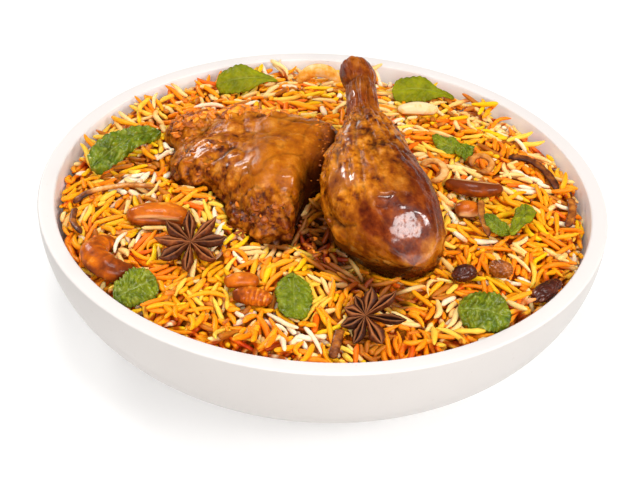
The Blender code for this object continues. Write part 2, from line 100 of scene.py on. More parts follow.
def capFaces(around, ring, tip, flip):  # triangles from one ring to the point at its end
    j = np.arange(around)
    a = ring * around + j
    b = ring * around + (j + 1) % around
    corners = [np.full(around, tip), b, a] if flip else [np.full(around, tip), a, b]
    return np.stack(corners, -1)


def tubeObject(name, rings, finish, tags=None):  # a closed body through rings of points, with a point at both ends
    rings = np.asarray(rings, float)
    count, around = rings.shape[:2]
    tips = np.stack([rings[0].mean(0), rings[-1].mean(0)])
    points = np.concatenate([rings.reshape(-1, 3), tips])
    ends = np.concatenate([capFaces(around, 0, count * around, True), capFaces(around, count - 1, count * around + 1, False)])
    shown = {}
    for tag, values in (tags or {}).items():
        values = np.broadcast_to(values, (count, around))
        shown[tag] = np.concatenate([values.ravel(), [values[0].mean(), values[-1].mean()]])
    return makeObject(name, points, [ringFaces(count, around), ends], finish, shown)


def lumps(points, size, seed):  # smooth noise of about -1 to 1 at each point
    scaled = np.asarray(points, float).reshape(-1, 3) / size + seed
    values = np.array([noise.noise(Vector(p)) for p in scaled])
    return values.reshape(np.shape(points)[:-1])


def creased(points, size, seed):  # round swellings of up to about 1 that meet in sharp folds, where it is 0
    return np.abs(lumps(points, size, seed)) * 1.6


def smoothStep(low, high, value):
    share = np.clip((np.asarray(value, float) - low) / (high - low), 0.0, 1.0)
    return share * share * (3.0 - 2.0 * share)


def hill(value, middle, width):  # 1 at the middle, falling to 0 over about this width
    return np.exp(-((np.asarray(value, float) - middle) / width) ** 2)


# Finishes

def startFinish(name, roughness, **sockets):
    finish = bpy.data.materials.new(name)
    finish.use_nodes = True
    inputs = finish.node_tree.nodes["Principled BSDF"].inputs
    inputs["Roughness"].default_value = roughness
    for socket, value in sockets.items():
        inputs[socket.replace("_", " ")].default_value = value
    return finish


def addNode(finish, kind, inputs=None, **settings):
    made = finish.node_tree.nodes.new(kind)
    for key, value in settings.items():
        setattr(made, key, value)
    for key, value in (inputs or {}).items():
        if isinstance(value, bpy.types.NodeSocket):
            finish.node_tree.links.new(value, made.inputs[key])
        else:
            made.inputs[key].default_value = value
    return made


def place(finish, stretch=(1, 1, 1)):
    coords = addNode(finish, "ShaderNodeTexCoord").outputs["Object"]
    return addNode(finish, "ShaderNodeMapping", {"Vector": coords, "Scale": stretch}).outputs["Vector"]


def cloud(finish, size, detail=3.0, rough=0.55, stretch=(1, 1, 1)):  # noise with blotches of about this size
    inputs = {"Vector": place(finish, stretch), "Scale": 1.0 / size, "Detail": detail, "Roughness": rough}
    return addNode(finish, "ShaderNodeTexNoise", inputs).outputs["Fac"]


def cells(finish, size):
    return addNode(finish, "ShaderNodeTexVoronoi", {"Vector": place(finish), "Scale": 1.0 / size}).outputs["Distance"]


def tagged(finish, tag):
    return addNode(finish, "ShaderNodeAttribute", attribute_name=tag).outputs["Fac"]


def ramp(finish, value, stops):
    made = addNode(finish, "ShaderNodeValToRGB", {"Fac": value})
    steps = made.color_ramp.elements
    for i, (at, colour) in enumerate(stops):
        step = steps[i] if i < 2 else steps.new(at)
        step.position = at
        step.color = (*colour, 1.0) if len(colour) == 3 else colour
    return made.outputs["Color"]


def spread(finish, value, low, high, least=0.0, most=1.0):
    inputs = {"Value": value, "From Min": low, "From Max": high, "To Min": least, "To Max": most}
    return addNode(finish, "ShaderNodeMapRange", inputs).outputs["Result"]


def sums(finish, operation, a, b):
    return addNode(finish, "ShaderNodeMath", {0: a, 1: b}, operation=operation).outputs[0]


def blended(finish, share, under, over, kind="MIX"):
    made = addNode(finish, "ShaderNodeMix", data_type="RGBA", blend_type=kind)
    for key, value in ((0, share), (6, under), (7, over)):
        if isinstance(value, bpy.types.NodeSocket):
            finish.node_tree.links.new(value, made.inputs[key])
        else:
            made.inputs[key].default_value = value if key == 0 else (*value, 1.0)
    return made.outputs[2]


def drive(finish, socket, value):
    finish.node_tree.links.new(value, finish.node_tree.nodes["Principled BSDF"].inputs[socket])


def relief(finish, *layers):  # (height, depth in metres, strength) from the coarsest to the finest
    normal = None
    for height, depth, strength in layers:
        inputs = {"Height": height, "Distance": depth, "Strength": strength}
        if normal is not None:
            inputs["Normal"] = normal
        normal = addNode(finish, "ShaderNodeBump", inputs).outputs["Normal"]
    drive(finish, "Normal", normal)


# The camera, lights and floor

studio = {
    "lens": 84.2, "cameraAt": (0.0, -0.5077, 0.3932), "lookDown": 35.57, "lookAside": 0.04, "roll": 3.1,
    "skyColour": (1.0, 0.995, 0.985), "skyPower": 1.0,
    "skyLean": (0.0, -0.35, 0.80),  # it is brightest above the front
    "skySteps": ((0.0, 0.08), (0.25, 0.17), (0.50, 0.34), (0.80, 0.48)),
    "lamps": (  # place, aim, width, depth, watts, colour, whether it shows in reflections
        ("lampAbove", (-0.10, 0.00, 2.00), (0, 0, 0.05), 0.80, 0.60, 14.0, (1.0, 0.985, 0.965), True),
        ("lampFront", (1.30, -0.95, 1.25), (0, 0, 0.05), 0.80, 0.55, 14.5, (1.0, 0.985, 0.965), True),
        ("lampLow", (0.12, -1.32, 0.76), (0, 0, 0.05), 1.00, 0.62, 12.5, (1.0, 0.975, 0.96), True),
        ("lampBehind", (-1.05, 1.35, 1.00), (0, 0, 0.05), 0.60, 0.48, 12.0, (1.0, 0.985, 0.965), True),
        ("lampSide", (1.30, 0.90, 0.62), (0, 0, 0.05), 0.55, 0.40, 7.0, (1.0, 0.985, 0.965), False),
        ("lampLeft", (-1.30, -0.30, 0.60), (0, 0, 0.05), 0.55, 0.40, 2.2, (1.0, 0.985, 0.965), False),
    ),
    "floorSize": 6.0,
}


def setCamera():
    camera = bpy.data.objects.new("camera", bpy.data.cameras.new("camera"))
    bpy.context.scene.collection.objects.link(camera)
    camera.data.lens = studio["lens"]
    camera.data.sensor_width = 36.0
    camera.data.clip_start = 0.01
    down, aside = math.radians(studio["lookDown"]), math.radians(studio["lookAside"])
    looking = Vector((-math.sin(aside) * math.cos(down), math.cos(aside) * math.cos(down), -math.sin(down)))
    turned = looking.to_track_quat("-Z", "Y").to_matrix().to_4x4()
    rolled = Matrix.Rotation(math.radians(studio["roll"]), 4, "Z")
    camera.matrix_world = Matrix.Translation(studio["cameraAt"]) @ turned @ rolled
    bpy.context.scene.camera = camera


def setLights():
    world = bpy.data.worlds.new("studio")
    world.use_nodes = True
    sky = world.node_tree.nodes["Background"]
    nodes, links = world.node_tree.nodes, world.node_tree.links
    lean = nodes.new("ShaderNodeVectorMath")
    lean.operation = "DOT_PRODUCT"
    lean.inputs[1].default_value = studio["skyLean"]
    links.new(nodes.new("ShaderNodeTexCoord").outputs["Generated"], lean.inputs[0])
    steps = nodes.new("ShaderNodeValToRGB")
    links.new(lean.outputs["Value"], steps.inputs["Fac"])
    for i, (at, power) in enumerate(studio["skySteps"]):
        step = steps.color_ramp.elements[i] if i < 2 else steps.color_ramp.elements.new(at)
        step.position = at
        step.color = (*(power * c for c in studio["skyColour"]), 1.0)
    links.new(steps.outputs["Color"], sky.inputs["Color"])
    sky.inputs["Strength"].default_value = studio["skyPower"]
    bpy.context.scene.world = world
    for name, at, aim, width, depth, watts, colour, shows in studio["lamps"]:
        lamp = bpy.data.lights.new(name, "AREA")
        lamp.shape = "RECTANGLE"
        lamp.size = width
        lamp.size_y = depth
        lamp.energy = watts
        lamp.color = colour
        made = bpy.data.objects.new(name, lamp)
        bpy.context.scene.collection.objects.link(made)
        made.visible_glossy = shows
        made.location = at
        made.rotation_euler = (Vector(aim) - Vector(at)).to_track_quat("-Z", "Y").to_euler()
    bpy.context.scene.view_settings.view_transform = "Standard"


def layFloor():
    finish = startFinish("paleFloor", 0.9, Specular_IOR_Level=0.1, Emission_Color=(1, 1, 1, 1), Emission_Strength=0.26)
    shade = cloud(finish, 0.35, 2.0)
    drive(finish, "Base Color", ramp(finish, shade, ((0.3, (0.74, 0.74, 0.74)), (0.7, (0.77, 0.77, 0.77)))))
    half = 0.5 * studio["floorSize"]
    corners = [(-half, -half, 0), (half, -half, 0), (half, half, 0), (-half, half, 0)]
    floor = makeObject("floor", corners, [np.array([[0, 1, 2, 3]])], finish)


setCamera()
setLights()
layFloor()
print("studio set")


# The bowl

bowl = {
    "radius": 0.115, "height": 0.055, "footRadius": 0.060, "rimWidth": 0.0067, "rimRounding": 0.0009,
    "floorHeight": 0.007, "innerFootRadius": 0.056, "around": 192, "stations": 44,
    "handmade": 0.00022,  # how far the wall wanders
}


def cubicPoint(a, b, c, d, t):
    s = 1.0 - t
    return s ** 3 * a + 3 * s * s * t * b + 3 * s * t * t * c + t ** 3 * d


def wallProfile(radius, foot, floor, stations, last=0.96):  # from below the rim down to the foot
    t = np.linspace(0.045, last, stations)
    across = cubicPoint(radius, radius, foot + 0.3 * (radius - foot), foot, t)
    up = cubicPoint(bowl["height"], floor + 0.3 * (bowl["height"] - floor), floor, floor, t)
    return np.stack([across, up], -1)


def rimEdge(radius, outwards):  # a rounded edge, from the wall up to the flat
    turn = np.linspace(0.0, 0.5 * math.pi, 6)
    r = bowl["rimRounding"]
    return np.stack([radius - outwards * r * (1 - np.cos(turn)), bowl["height"] - r + r * np.sin(turn)], -1)


innerWall = wallProfile(bowl["radius"] - bowl["rimWidth"], bowl["innerFootRadius"], bowl["floorHeight"], bowl["stations"])


def radiusInside(height):  # of the bowl's inner face at this height
    return np.interp(height, innerWall[::-1, 1], innerWall[::-1, 0])


def makeGlaze():
    finish = startFinish("bowlGlaze", 0.42, Specular_IOR_Level=0.45, Coat_Weight=0.12, Coat_Roughness=0.28)
    wide = cloud(finish, 0.060, 2.0)
    fine = cloud(finish, 0.0022, 3.0)
    # One glaze painted in three tones that stand in for light: the outer wall darker as painted shade, the inside paler
    # and bluish as painted light that offsets the orange bounce from the rice, and the rim paler than the wall as
    # painted light
    outsidePaintedShade = ramp(finish, wide, ((0.30, (0.520, 0.490, 0.468)), (0.70, (0.552, 0.521, 0.499))))
    insidePaintedLight = ramp(finish, wide, ((0.30, (0.895, 0.925, 0.955)), (0.70, (0.920, 0.950, 0.980))))
    base = blended(finish, tagged(finish, "inside"), outsidePaintedShade, insidePaintedLight)
    base = blended(finish, tagged(finish, "rim"), base, (0.755, 0.710, 0.688))
    speck = ramp(finish, fine, ((0.24, (0.80, 0.76, 0.72)), (0.33, (1.0, 1.0, 1.0))))
    drive(finish, "Base Color", blended(finish, 0.5, base, speck, "MULTIPLY"))
    drive(finish, "Roughness", spread(finish, wide, 0.3, 0.7, 0.36, 0.50))
    relief(finish, (wide, 0.0006, 0.25), (fine, 0.00004, 0.35))
    return finish


def turnBowl():
    outer = wallProfile(bowl["radius"], bowl["footRadius"], 0.0, bowl["stations"])
    foot = np.array([(bowl["footRadius"] - 0.0006, 0.0), (bowl["footRadius"] + 0.0004, 0.0003)])
    rim = np.concatenate([rimEdge(bowl["radius"], 1), rimEdge(bowl["radius"] - bowl["rimWidth"], -1)[::-1]])
    floor = np.array([(bowl["innerFootRadius"] - 0.004, bowl["floorHeight"]), (0.03, bowl["floorHeight"])])
    under = np.array([(0.03, 0.0)])
    profile = np.concatenate([under, foot, outer[::-1], rim, innerWall, floor])
    angle = np.linspace(0, 2 * math.pi, bowl["around"], endpoint=False)
    wander = lumps(np.stack([1.1 * np.cos(angle), 1.1 * np.sin(angle), 0 * angle], -1), 1.0, 4.2)
    rings = []
    for radius, height in profile:
        share = min(1.0, height / bowl["height"])
        reach = radius - bowl["handmade"] * share * (0.5 + 0.5 * wander)
        rings.append(np.stack([reach * np.cos(angle), reach * np.sin(angle), np.full_like(angle, height)], -1))
    counts = (len(under) + len(foot) + len(outer), len(rim), len(innerWall) + len(floor))
    inside = np.repeat((0.0, 1.0), (counts[0] + counts[1] // 2, counts[1] // 2 + counts[2]))[::-1]  # the inside is painted paler, as painted light
    # The rim's painted tone changes sharply to the outer wall's painted shade
    onRim = np.repeat((0.0, 1.0, 0.0), counts)
    onRim[counts[0]:counts[0] + 3] = (0.0, 0.3, 0.8)
    onRim[counts[0] + counts[1] - 3:counts[0] + counts[1]] = (0.6, 0.3, 0.0)
    made = tubeObject("bowlTurned", rings[::-1], makeGlaze(), {"inside": inside[:, None], "rim": onRim[::-1, None]})
    settlePiece(made, "bowl_glaze", "bowl")


turnBowl()


# The heap's own ground, which the nuts and spices are set on

heap = {
    "edge": 0.0486, "rise": 0.0150, "bump": 0.0030, "bumpSize": 0.020,
    "reach": bowl["radius"] - bowl["rimWidth"],
}


def groundBump(x, y, seed):
    at = Vector((x / heap["bumpSize"], y / heap["bumpSize"], seed))
    return noise.noise(at) + 0.5 * noise.noise(at * 2.1)


def riceHeight(x, y):
    across = min(1.0, math.hypot(x, y) / heap["reach"])
    dome = heap["edge"] + heap["rise"] * (1.0 - across ** 2)
    return dome + heap["bump"] * groundBump(x, y, 3.7) * (1.0 - 0.5 * across ** 4)


def treeOf(made):  # for finding where a vertical line meets a piece
    mesh = made.data
    return BVHTree.FromPolygons([v.co.copy() for v in mesh.vertices], [tuple(p.vertices) for p in mesh.polygons])


def topOf(tree, x, y):
    hit = tree.ray_cast(Vector((x, y, 0.3)), Vector((0, 0, -1)))[0]
    return hit.z if hit else None


# The chicken

drumstick = {
    "knuckle": (0.0094, 0.0591, 0.0829), "boneTowards": (0.1460, -0.9785, -0.1417),
    "rings": (  # distance, radius and shift to the right, in mm
        (3.70, 0.4, 0), (3.80, 2.2, 0), (4.05, 3.9, 0), (4.6, 5.2, 0), (5.4, 6.2, 0), (7.8, 7.0, 0), (12, 7.1, 0.5),
        (18, 6.7, 0.8), (27, 6.4, 0.3), (37, 6.7, -0.4), (43, 7.7, -0.6), (48, 9.6, -0.2), (54, 12.0, -0.4),
        (61, 14.3, -1.6), (69, 16.3, -2.8), (78, 18.6, -2.6), (88, 20.4, -1.6), (98, 21.0, -0.7), (106, 20.0, 0.8),
        (113, 17.4, 2.9), (119, 13.4, 5.0), (122, 10.0, 6.0), (124, 6.6, 6.7), (125, 3.6, 7.0), (125.5, 0.6, 7.0),
    ),
    "flatten": 0.92, "around": 150, "stations": 230,
    "creases": (  # (distance, turn in degrees) along each fold, depth and width in mm
        (((47, 124), (56, 117), (66, 113), (76, 111), (86, 112), (96, 115), (103, 119)), 1.0, 0.8),
        (((80, 121), (88, 126), (96, 129)), 0.8, 0.7),
        (((50, 84), (58, 74), (67, 66), (78, 60)), 0.5, 0.7),
        (((48, 140), (60, 142), (72, 133), (84, 139)), 0.8, 0.8),
        (((106, 106), (107, 99), (106, 92)), 1.1, 0.8),
        (((109, 116), (111, 106)), 0.7, 0.7),
        (((88, 72), (93, 68), (98, 61)), 0.8, 0.9),
        (((60, 40), (72, 34), (86, 36)), 0.9, 0.8),
        (((112, 150), (108, 165), (98, 172)), 1.0, 0.9),
        (((18, 170), (19, 130), (18, 96)), 0.9, 0.9),
        (((22, 118), (31, 112), (40, 116)), 0.7, 0.7),
        (((24, 66), (33, 72), (42, 64)), 0.8, 0.7),
    ),
    "wet": (  # where fat has run and set smooth: distance, turn, size in mm, how much flatter it is there, lean
        (119, 80, 9.5, 0.68, -0.10), (109, 100, 3.5, 0.0, 0.0), (91, 145, 6.5, 0.35, 0.0), (59, 122, 5.0, 0.30, 0.0),
        (67, 115, 3.5, 0.2, 0.0), (30, 140, 2.5, 0.2, 0.0), (94, 127, 2.5, 0.0, 0.0),
    ),
    "flap": (108, -179, 3.7, 1.0),  # distance, turn, size and height of the loose bit of skin, in mm
}


def makeSkin():  # crisp, oily skin: golden where it is thick, red-brown where it is thin, with painted shade in the folds, hollows and undersides and where the pieces meet
    finish = startFinish("chickenSkin", 0.22, Specular_IOR_Level=0.10, Coat_Roughness=0.11, Coat_IOR=1.85,
                         Subsurface_Weight=0.05, Subsurface_Scale=0.002)
    wide = cloud(finish, 0.016, 4.0, 0.6)
    middle = cloud(finish, 0.0062, 5.0, 0.60)
    flakes = cloud(finish, 0.0024, 4.0, 0.62, (1.0, 0.6, 1.0))
    fine = cloud(finish, 0.0008, 3.0)
    mottled = sums(finish, "ADD", spread(finish, middle, 0.25, 0.75, 0.0, 0.70), spread(finish, flakes, 0.25, 0.75, 0.0, 0.30))
    kept = spread(finish, tagged(finish, "calm"), 0.0, 1.0, 1.0, 0.45)
    mottled = sums(finish, "ADD", sums(finish, "MULTIPLY", mottled, kept), spread(finish, kept, 0.45, 1.0, 0.33, 0.0))
    golden = ramp(finish, mottled, ((0.24, (0.090, 0.013, 0.001)), (0.36, (0.240, 0.045, 0.002)), (0.48, (0.370, 0.088, 0.002)),
                                    (0.60, (0.500, 0.142, 0.004)), (0.72, (0.640, 0.240, 0.024)), (0.82, (0.760, 0.370, 0.100))))
    ruddy = ramp(finish, mottled, ((0.24, (0.030, 0.003, 0.001)), (0.40, (0.100, 0.011, 0.001)), (0.55, (0.190, 0.027, 0.002)),
                                   (0.70, (0.330, 0.062, 0.003)), (0.84, (0.500, 0.120, 0.007))))
    share = sums(finish, "ADD", tagged(finish, "ruddy"), spread(finish, wide, 0.35, 0.65, -0.22, 0.22))
    colour = blended(finish, spread(finish, share, 0.25, 0.75), golden, ruddy)
    crust = ramp(finish, flakes, ((0.44, (0.0, 0.0, 0.0)), (0.60, (1.0, 1.0, 1.0))))
    crusty = sums(finish, "MULTIPLY", crust, tagged(finish, "crust"))
    colour = blended(finish, crusty, colour, (0.760, 0.250, 0.010))
    # The deep tag is painted shade: it takes the colour nearly to black; the darkest mottled spots add to it
    dark = sums(finish, "MAXIMUM", tagged(finish, "deep"), spread(finish, mottled, 0.32, 0.22, 0.0, 0.6))
    colour = blended(finish, dark, colour, (0.036, 0.006, 0.001))
    drive(finish, "Base Color", colour)
    drive(finish, "Roughness", spread(finish, middle, 0.3, 0.7, 0.16, 0.34))
    drive(finish, "Coat Weight", spread(finish, tagged(finish, "wet"), 0.0, 1.0, 0.04, 1.0))
    relief(finish, (middle, 0.0010, 0.5), (flakes, 0.0006, 0.5), (fine, 0.0003, 0.5))
    return finish


skinFinish = makeSkin()


def boneFrame():
    along = Vector(drumstick["boneTowards"]).normalized()
    right = -along.cross(Vector((0, 0, 1))).normalized()
    top = -right.cross(along).normalized()
    return np.array(along), np.array(right), np.array(top)


def creaseDepth(away, turn, radius):  # away in mm, turn in degrees
    depth = np.zeros_like(away)
    for path, deep, wide in drumstick["creases"]:
        path = np.array(path, float)
        line = np.array([np.interp(np.linspace(0, 1, 60), np.linspace(0, 1, len(path)), path[:, k]) for k in (0, 1)]).T
        best = np.full_like(away, 9.0)
        for i, (d, a) in enumerate(line):
            reach = min(1.0, 4.0 * min(i + 1, 60 - i) / 60)
            gap = np.hypot(away - d, np.radians((turn - a + 180) % 360 - 180) * radius)
            best = np.minimum(best, gap / (wide * (0.4 + 0.6 * reach)))
        depth += deep * np.exp(-best ** 2)
    return depth


def flattened(points, wet, share, lean=0.0):  # draws a tube's points towards a plane where the weight is high
    heavy = wet ** 2
    middle = (points * heavy[..., None]).sum((0, 1)) / heavy.sum()
    normal = np.cross(np.roll(points, -1, 1) - np.roll(points, 1, 1), np.gradient(points, axis=0))
    facing = (normal / np.linalg.norm(normal, axis=-1, keepdims=True) * heavy[..., None]).sum((0, 1))
    facing /= np.linalg.norm(facing)
    facing = facing + lean * boneFrame()[1]
    facing /= np.linalg.norm(facing)
    return points - (share * wet * ((points - middle) @ facing))[..., None] * facing


def buildDrumstick():
    along, right, top = boneFrame()
    rings = np.array(drumstick["rings"])
    run = np.concatenate([np.linspace(3.7, 5.4, 12)[:-1], np.linspace(5.4, 121, drumstick["stations"] - 26),
                          np.linspace(121, 125.5, 16)[1:]])
    steps = np.concatenate([[0], np.cumsum(np.hypot(np.diff(rings[:, 0]), np.diff(rings[:, 1])))])
    at = np.interp(run, rings[:, 0], steps)
    soft = [np.mean([np.interp(at + s, steps, rings[:, k]) for s in (-1.2, -0.6, 0, 0.6, 1.2)], 0) for k in (1, 2)]
    edges = smoothStep(0, 3, np.minimum(at - at[0], at[-1] - at))
    radius = edges * soft[0] + (1 - edges) * np.interp(run, rings[:, 0], rings[:, 1])
    turn = np.linspace(0, 360, drumstick["around"], endpoint=False)
    away, turn = np.meshgrid(run, turn, indexing="ij")
    radius = np.broadcast_to(radius[:, None], away.shape)
    shift = np.broadcast_to(soft[1][:, None], away.shape)
    thick = np.minimum(1.0, radius / 20)
    angle = np.radians(turn)
    fold = 1.0 + 0.035 * thick * np.sin(-3 * angle + 0.04 * away)
    squash = 1.0 - (1.0 - drumstick["flatten"]) * thick
    spot = np.stack([0.055 * away, 1.6 * np.cos(angle) * (0.5 + thick), 1.6 * np.sin(angle) * (0.5 + thick)], -1)

    wets = []
    for d, a, size, flatter, lean in drumstick["wet"]:
        gap = np.hypot(away - d, np.radians((turn - a + 180) % 360 - 180) * radius)
        wets.append((smoothStep(1.35, 0.55, gap / size), flatter, lean))
    wet = np.max([weight for weight, _, _ in wets], 0)
    neck = smoothStep(38, 47, away) * (1 - smoothStep(72, 92, away))
    gathers = np.sin(8 * angle + 2.6 * lumps(spot, 0.9, 3.1) + 0.05 * away)
    flank = hill((turn - 138 + 180) % 360 - 180, 0, 42) * smoothStep(42, 50, away) * (1 - smoothStep(98, 110, away))
    ragged = smoothStep(112, 122, away) * smoothStep(0.35, -0.15, np.sin(angle))
    glossy = smoothStep(98, 108, away) * (1 - ragged) * hill((turn - 80 + 180) % 360 - 180, 0, 60)
    rough = (0.35 + 0.9 * flank + 0.6 * neck + 1.0 * ragged - 0.28 * glossy) * (1 - 0.75 * wet)
    drawn = spot * (0.45, 1.0, 1.0)  # the folds run mostly along the bone
    bold, small, tiny = creased(drawn, 0.42, 5.7), creased(drawn, 0.17, 8.9), creased(spot, 0.075, 2.2)
    grow = 0.45 * neck * gathers + 0.65 * thick * lumps(spot, 0.55, 1.3) * (1 - 0.7 * wet)
    grow += (0.35 + 0.75 * rough) * (bold - 0.5) * (1 - 0.85 * wet)
    pressed = np.max([weight * flatter for weight, flatter, _ in wets], 0)
    grow += pressed * (0.20 * lumps(spot, 0.13, 12.4) + 0.22 * lumps(spot, 0.24, 3.9))  # the oily film is puckered
    grow += 0.50 * rough * (small - 0.5) + 0.20 * rough * (tiny - 0.5) + 0.10 * rough * lumps(spot, 0.040, 2.2)
    edge = 42.5 + 2.5 * lumps(spot[:1], 0.8, 6.6)  # where the skin ends and the bare bone begins
    grow += 0.9 * smoothStep(edge - 0.8, edge + 0.8, away) - 0.5 * hill(away - edge + 1.5, 0, 1.5)
    knob = hill(away, 11, 6)
    grow += 0.8 * knob * (np.cos(2 * angle + 0.5) * 0.5 + 0.3 * np.cos(angle)) - 0.6 * hill(away, 18.5, 2.5)
    d, a, size, high = drumstick["flap"]
    flapGap = np.hypot(away - d, np.radians((turn - a + 180) % 360 - 180) * radius) / size
    flap = smoothStep(1.15, 0.45, flapGap + 0.35 * lumps(spot, 0.13, 4.2))
    grow += high * flap
    creases = creaseDepth(away, turn, radius) + 0.45 * hill(flapGap, 1.25, 0.22)
    ends = np.minimum(1.0, radius / 5.0)
    grow = (grow - creases) * ends
    place = np.array(drumstick["knuckle"]) + (along * away[..., None] + right * shift[..., None]) / 1000
    reach = (radius * fold + grow)[..., None] / 1000
    points = place + reach * (right * np.cos(angle)[..., None] + top * (np.sin(angle) * squash)[..., None])
    for weight, flatter, lean in wets:
        points = flattened(points, weight, flatter, lean) if flatter else points

    # Painted shade in the deep tag: the creases, the gathers at the neck, the groove where the skin ends and the bold
    # and small folds
    deep = np.clip(creases / 1.3 - 0.25, 0, 1) + 0.35 * neck * smoothStep(0.55, 0.95, -gathers)
    deep += 0.7 * hill(away - edge + 1.2, 0, 0.8) + 0.45 * smoothStep(0.13, 0.01, bold) * np.minimum(rough, 1)
    deep += 0.30 * smoothStep(0.10, 0.02, small) * np.minimum(rough, 1)
    wet = wet * (1 - 0.9 * smoothStep(0.14, 0.05, creased(spot, 0.16, 7.7)) * smoothStep(104, 110, away))  # breaks in the film
    # Painted shade: the underside and the lower left beside the flap are darkened, and the underside is painted redder;
    # rightSide is red-brown thin skin, while its share of deep is painted shade; deep also darkens a band below the
    # knob
    under = smoothStep(-0.1, -0.75, np.sin(angle))
    lowLeftShade = smoothStep(92, 104, away) * hill((turn + 150 + 180) % 360 - 180, 0, 42) * (1 - flap)
    rightSide = hill((turn - 22 + 180) % 360 - 180, 0, 56) * smoothStep(50, 84, away)
    rightSide *= 1 - 0.9 * smoothStep(108, 117, away) * hill((turn - 20 + 180) % 360 - 180, 0, 55)
    front = smoothStep(100, 113, away) * hill((turn - 114 + 180) % 360 - 180, 0, 50)
    ruddy = np.clip(1.3 * rightSide + front * (1.0 + 0.7 * lumps(spot, 0.4, 9.1)) + 0.6 * under + 0.70 * smoothStep(46, 36, away), 0, 1)
    tags = {
        "deep": np.clip(deep + 0.30 * rightSide + 0.30 * under + 0.75 * lowLeftShade + 0.30 * hill(away, 23, 5), 0, 1), "ruddy": ruddy, "wet": wet,
        "crust": np.clip(0.7 * flank * (1 - wet) + 0.3 * neck + 0.45 * flap, 0, 1), "calm": np.clip(1.0 - rough, 0, 0.6),
    }
    made = tubeObject("drumstickRoasted", points, skinFinish, tags)
    return settlePiece(made, "chicken", "chicken_drumstick")


thigh = {
    "lobes": (  # centre, three radii, and turns about x, y and z in degrees
        ((-0.0190, -0.0030, 0.0610), (0.0270, 0.0300, 0.0180), (-12, 0, 0)),
        ((-0.0208, -0.0300, 0.0580), (0.0188, 0.0170, 0.0120), (-18, 0, 0)),
        ((-0.0430, 0.0080, 0.0590), (0.0220, 0.0190, 0.0130), (-10, -8, 0)),
        ((-0.0540, -0.0020, 0.0600), (0.0100, 0.0090, 0.0080), (0, 0, 0)),
        ((-0.0180, 0.0180, 0.0620), (0.0230, 0.0150, 0.0150), (0, 6, 0)),
        ((-0.0045, 0.0130, 0.0630), (0.0140, 0.0170, 0.0150), (0, 0, 0)),
        ((-0.0340, 0.0260, 0.0620), (0.0170, 0.0120, 0.0130), (0, 0, 0)),
        ((-0.0520, 0.0290, 0.0600), (0.0180, 0.0110, 0.0105), (0, 0, 10)),
    ),
    "voxel": 0.0040, "finer": 2,
    "wet": (  # where fat has run and set smooth: x, y, size in mm
        (-46, 7, 6.5), (-51, 1, 4.5), (-39, -9, 5.0), (-33, -16, 4.5), (-15, -24, 4.0), (-26, 4, 4.0), (-38, 14, 4.0),
    ),
}


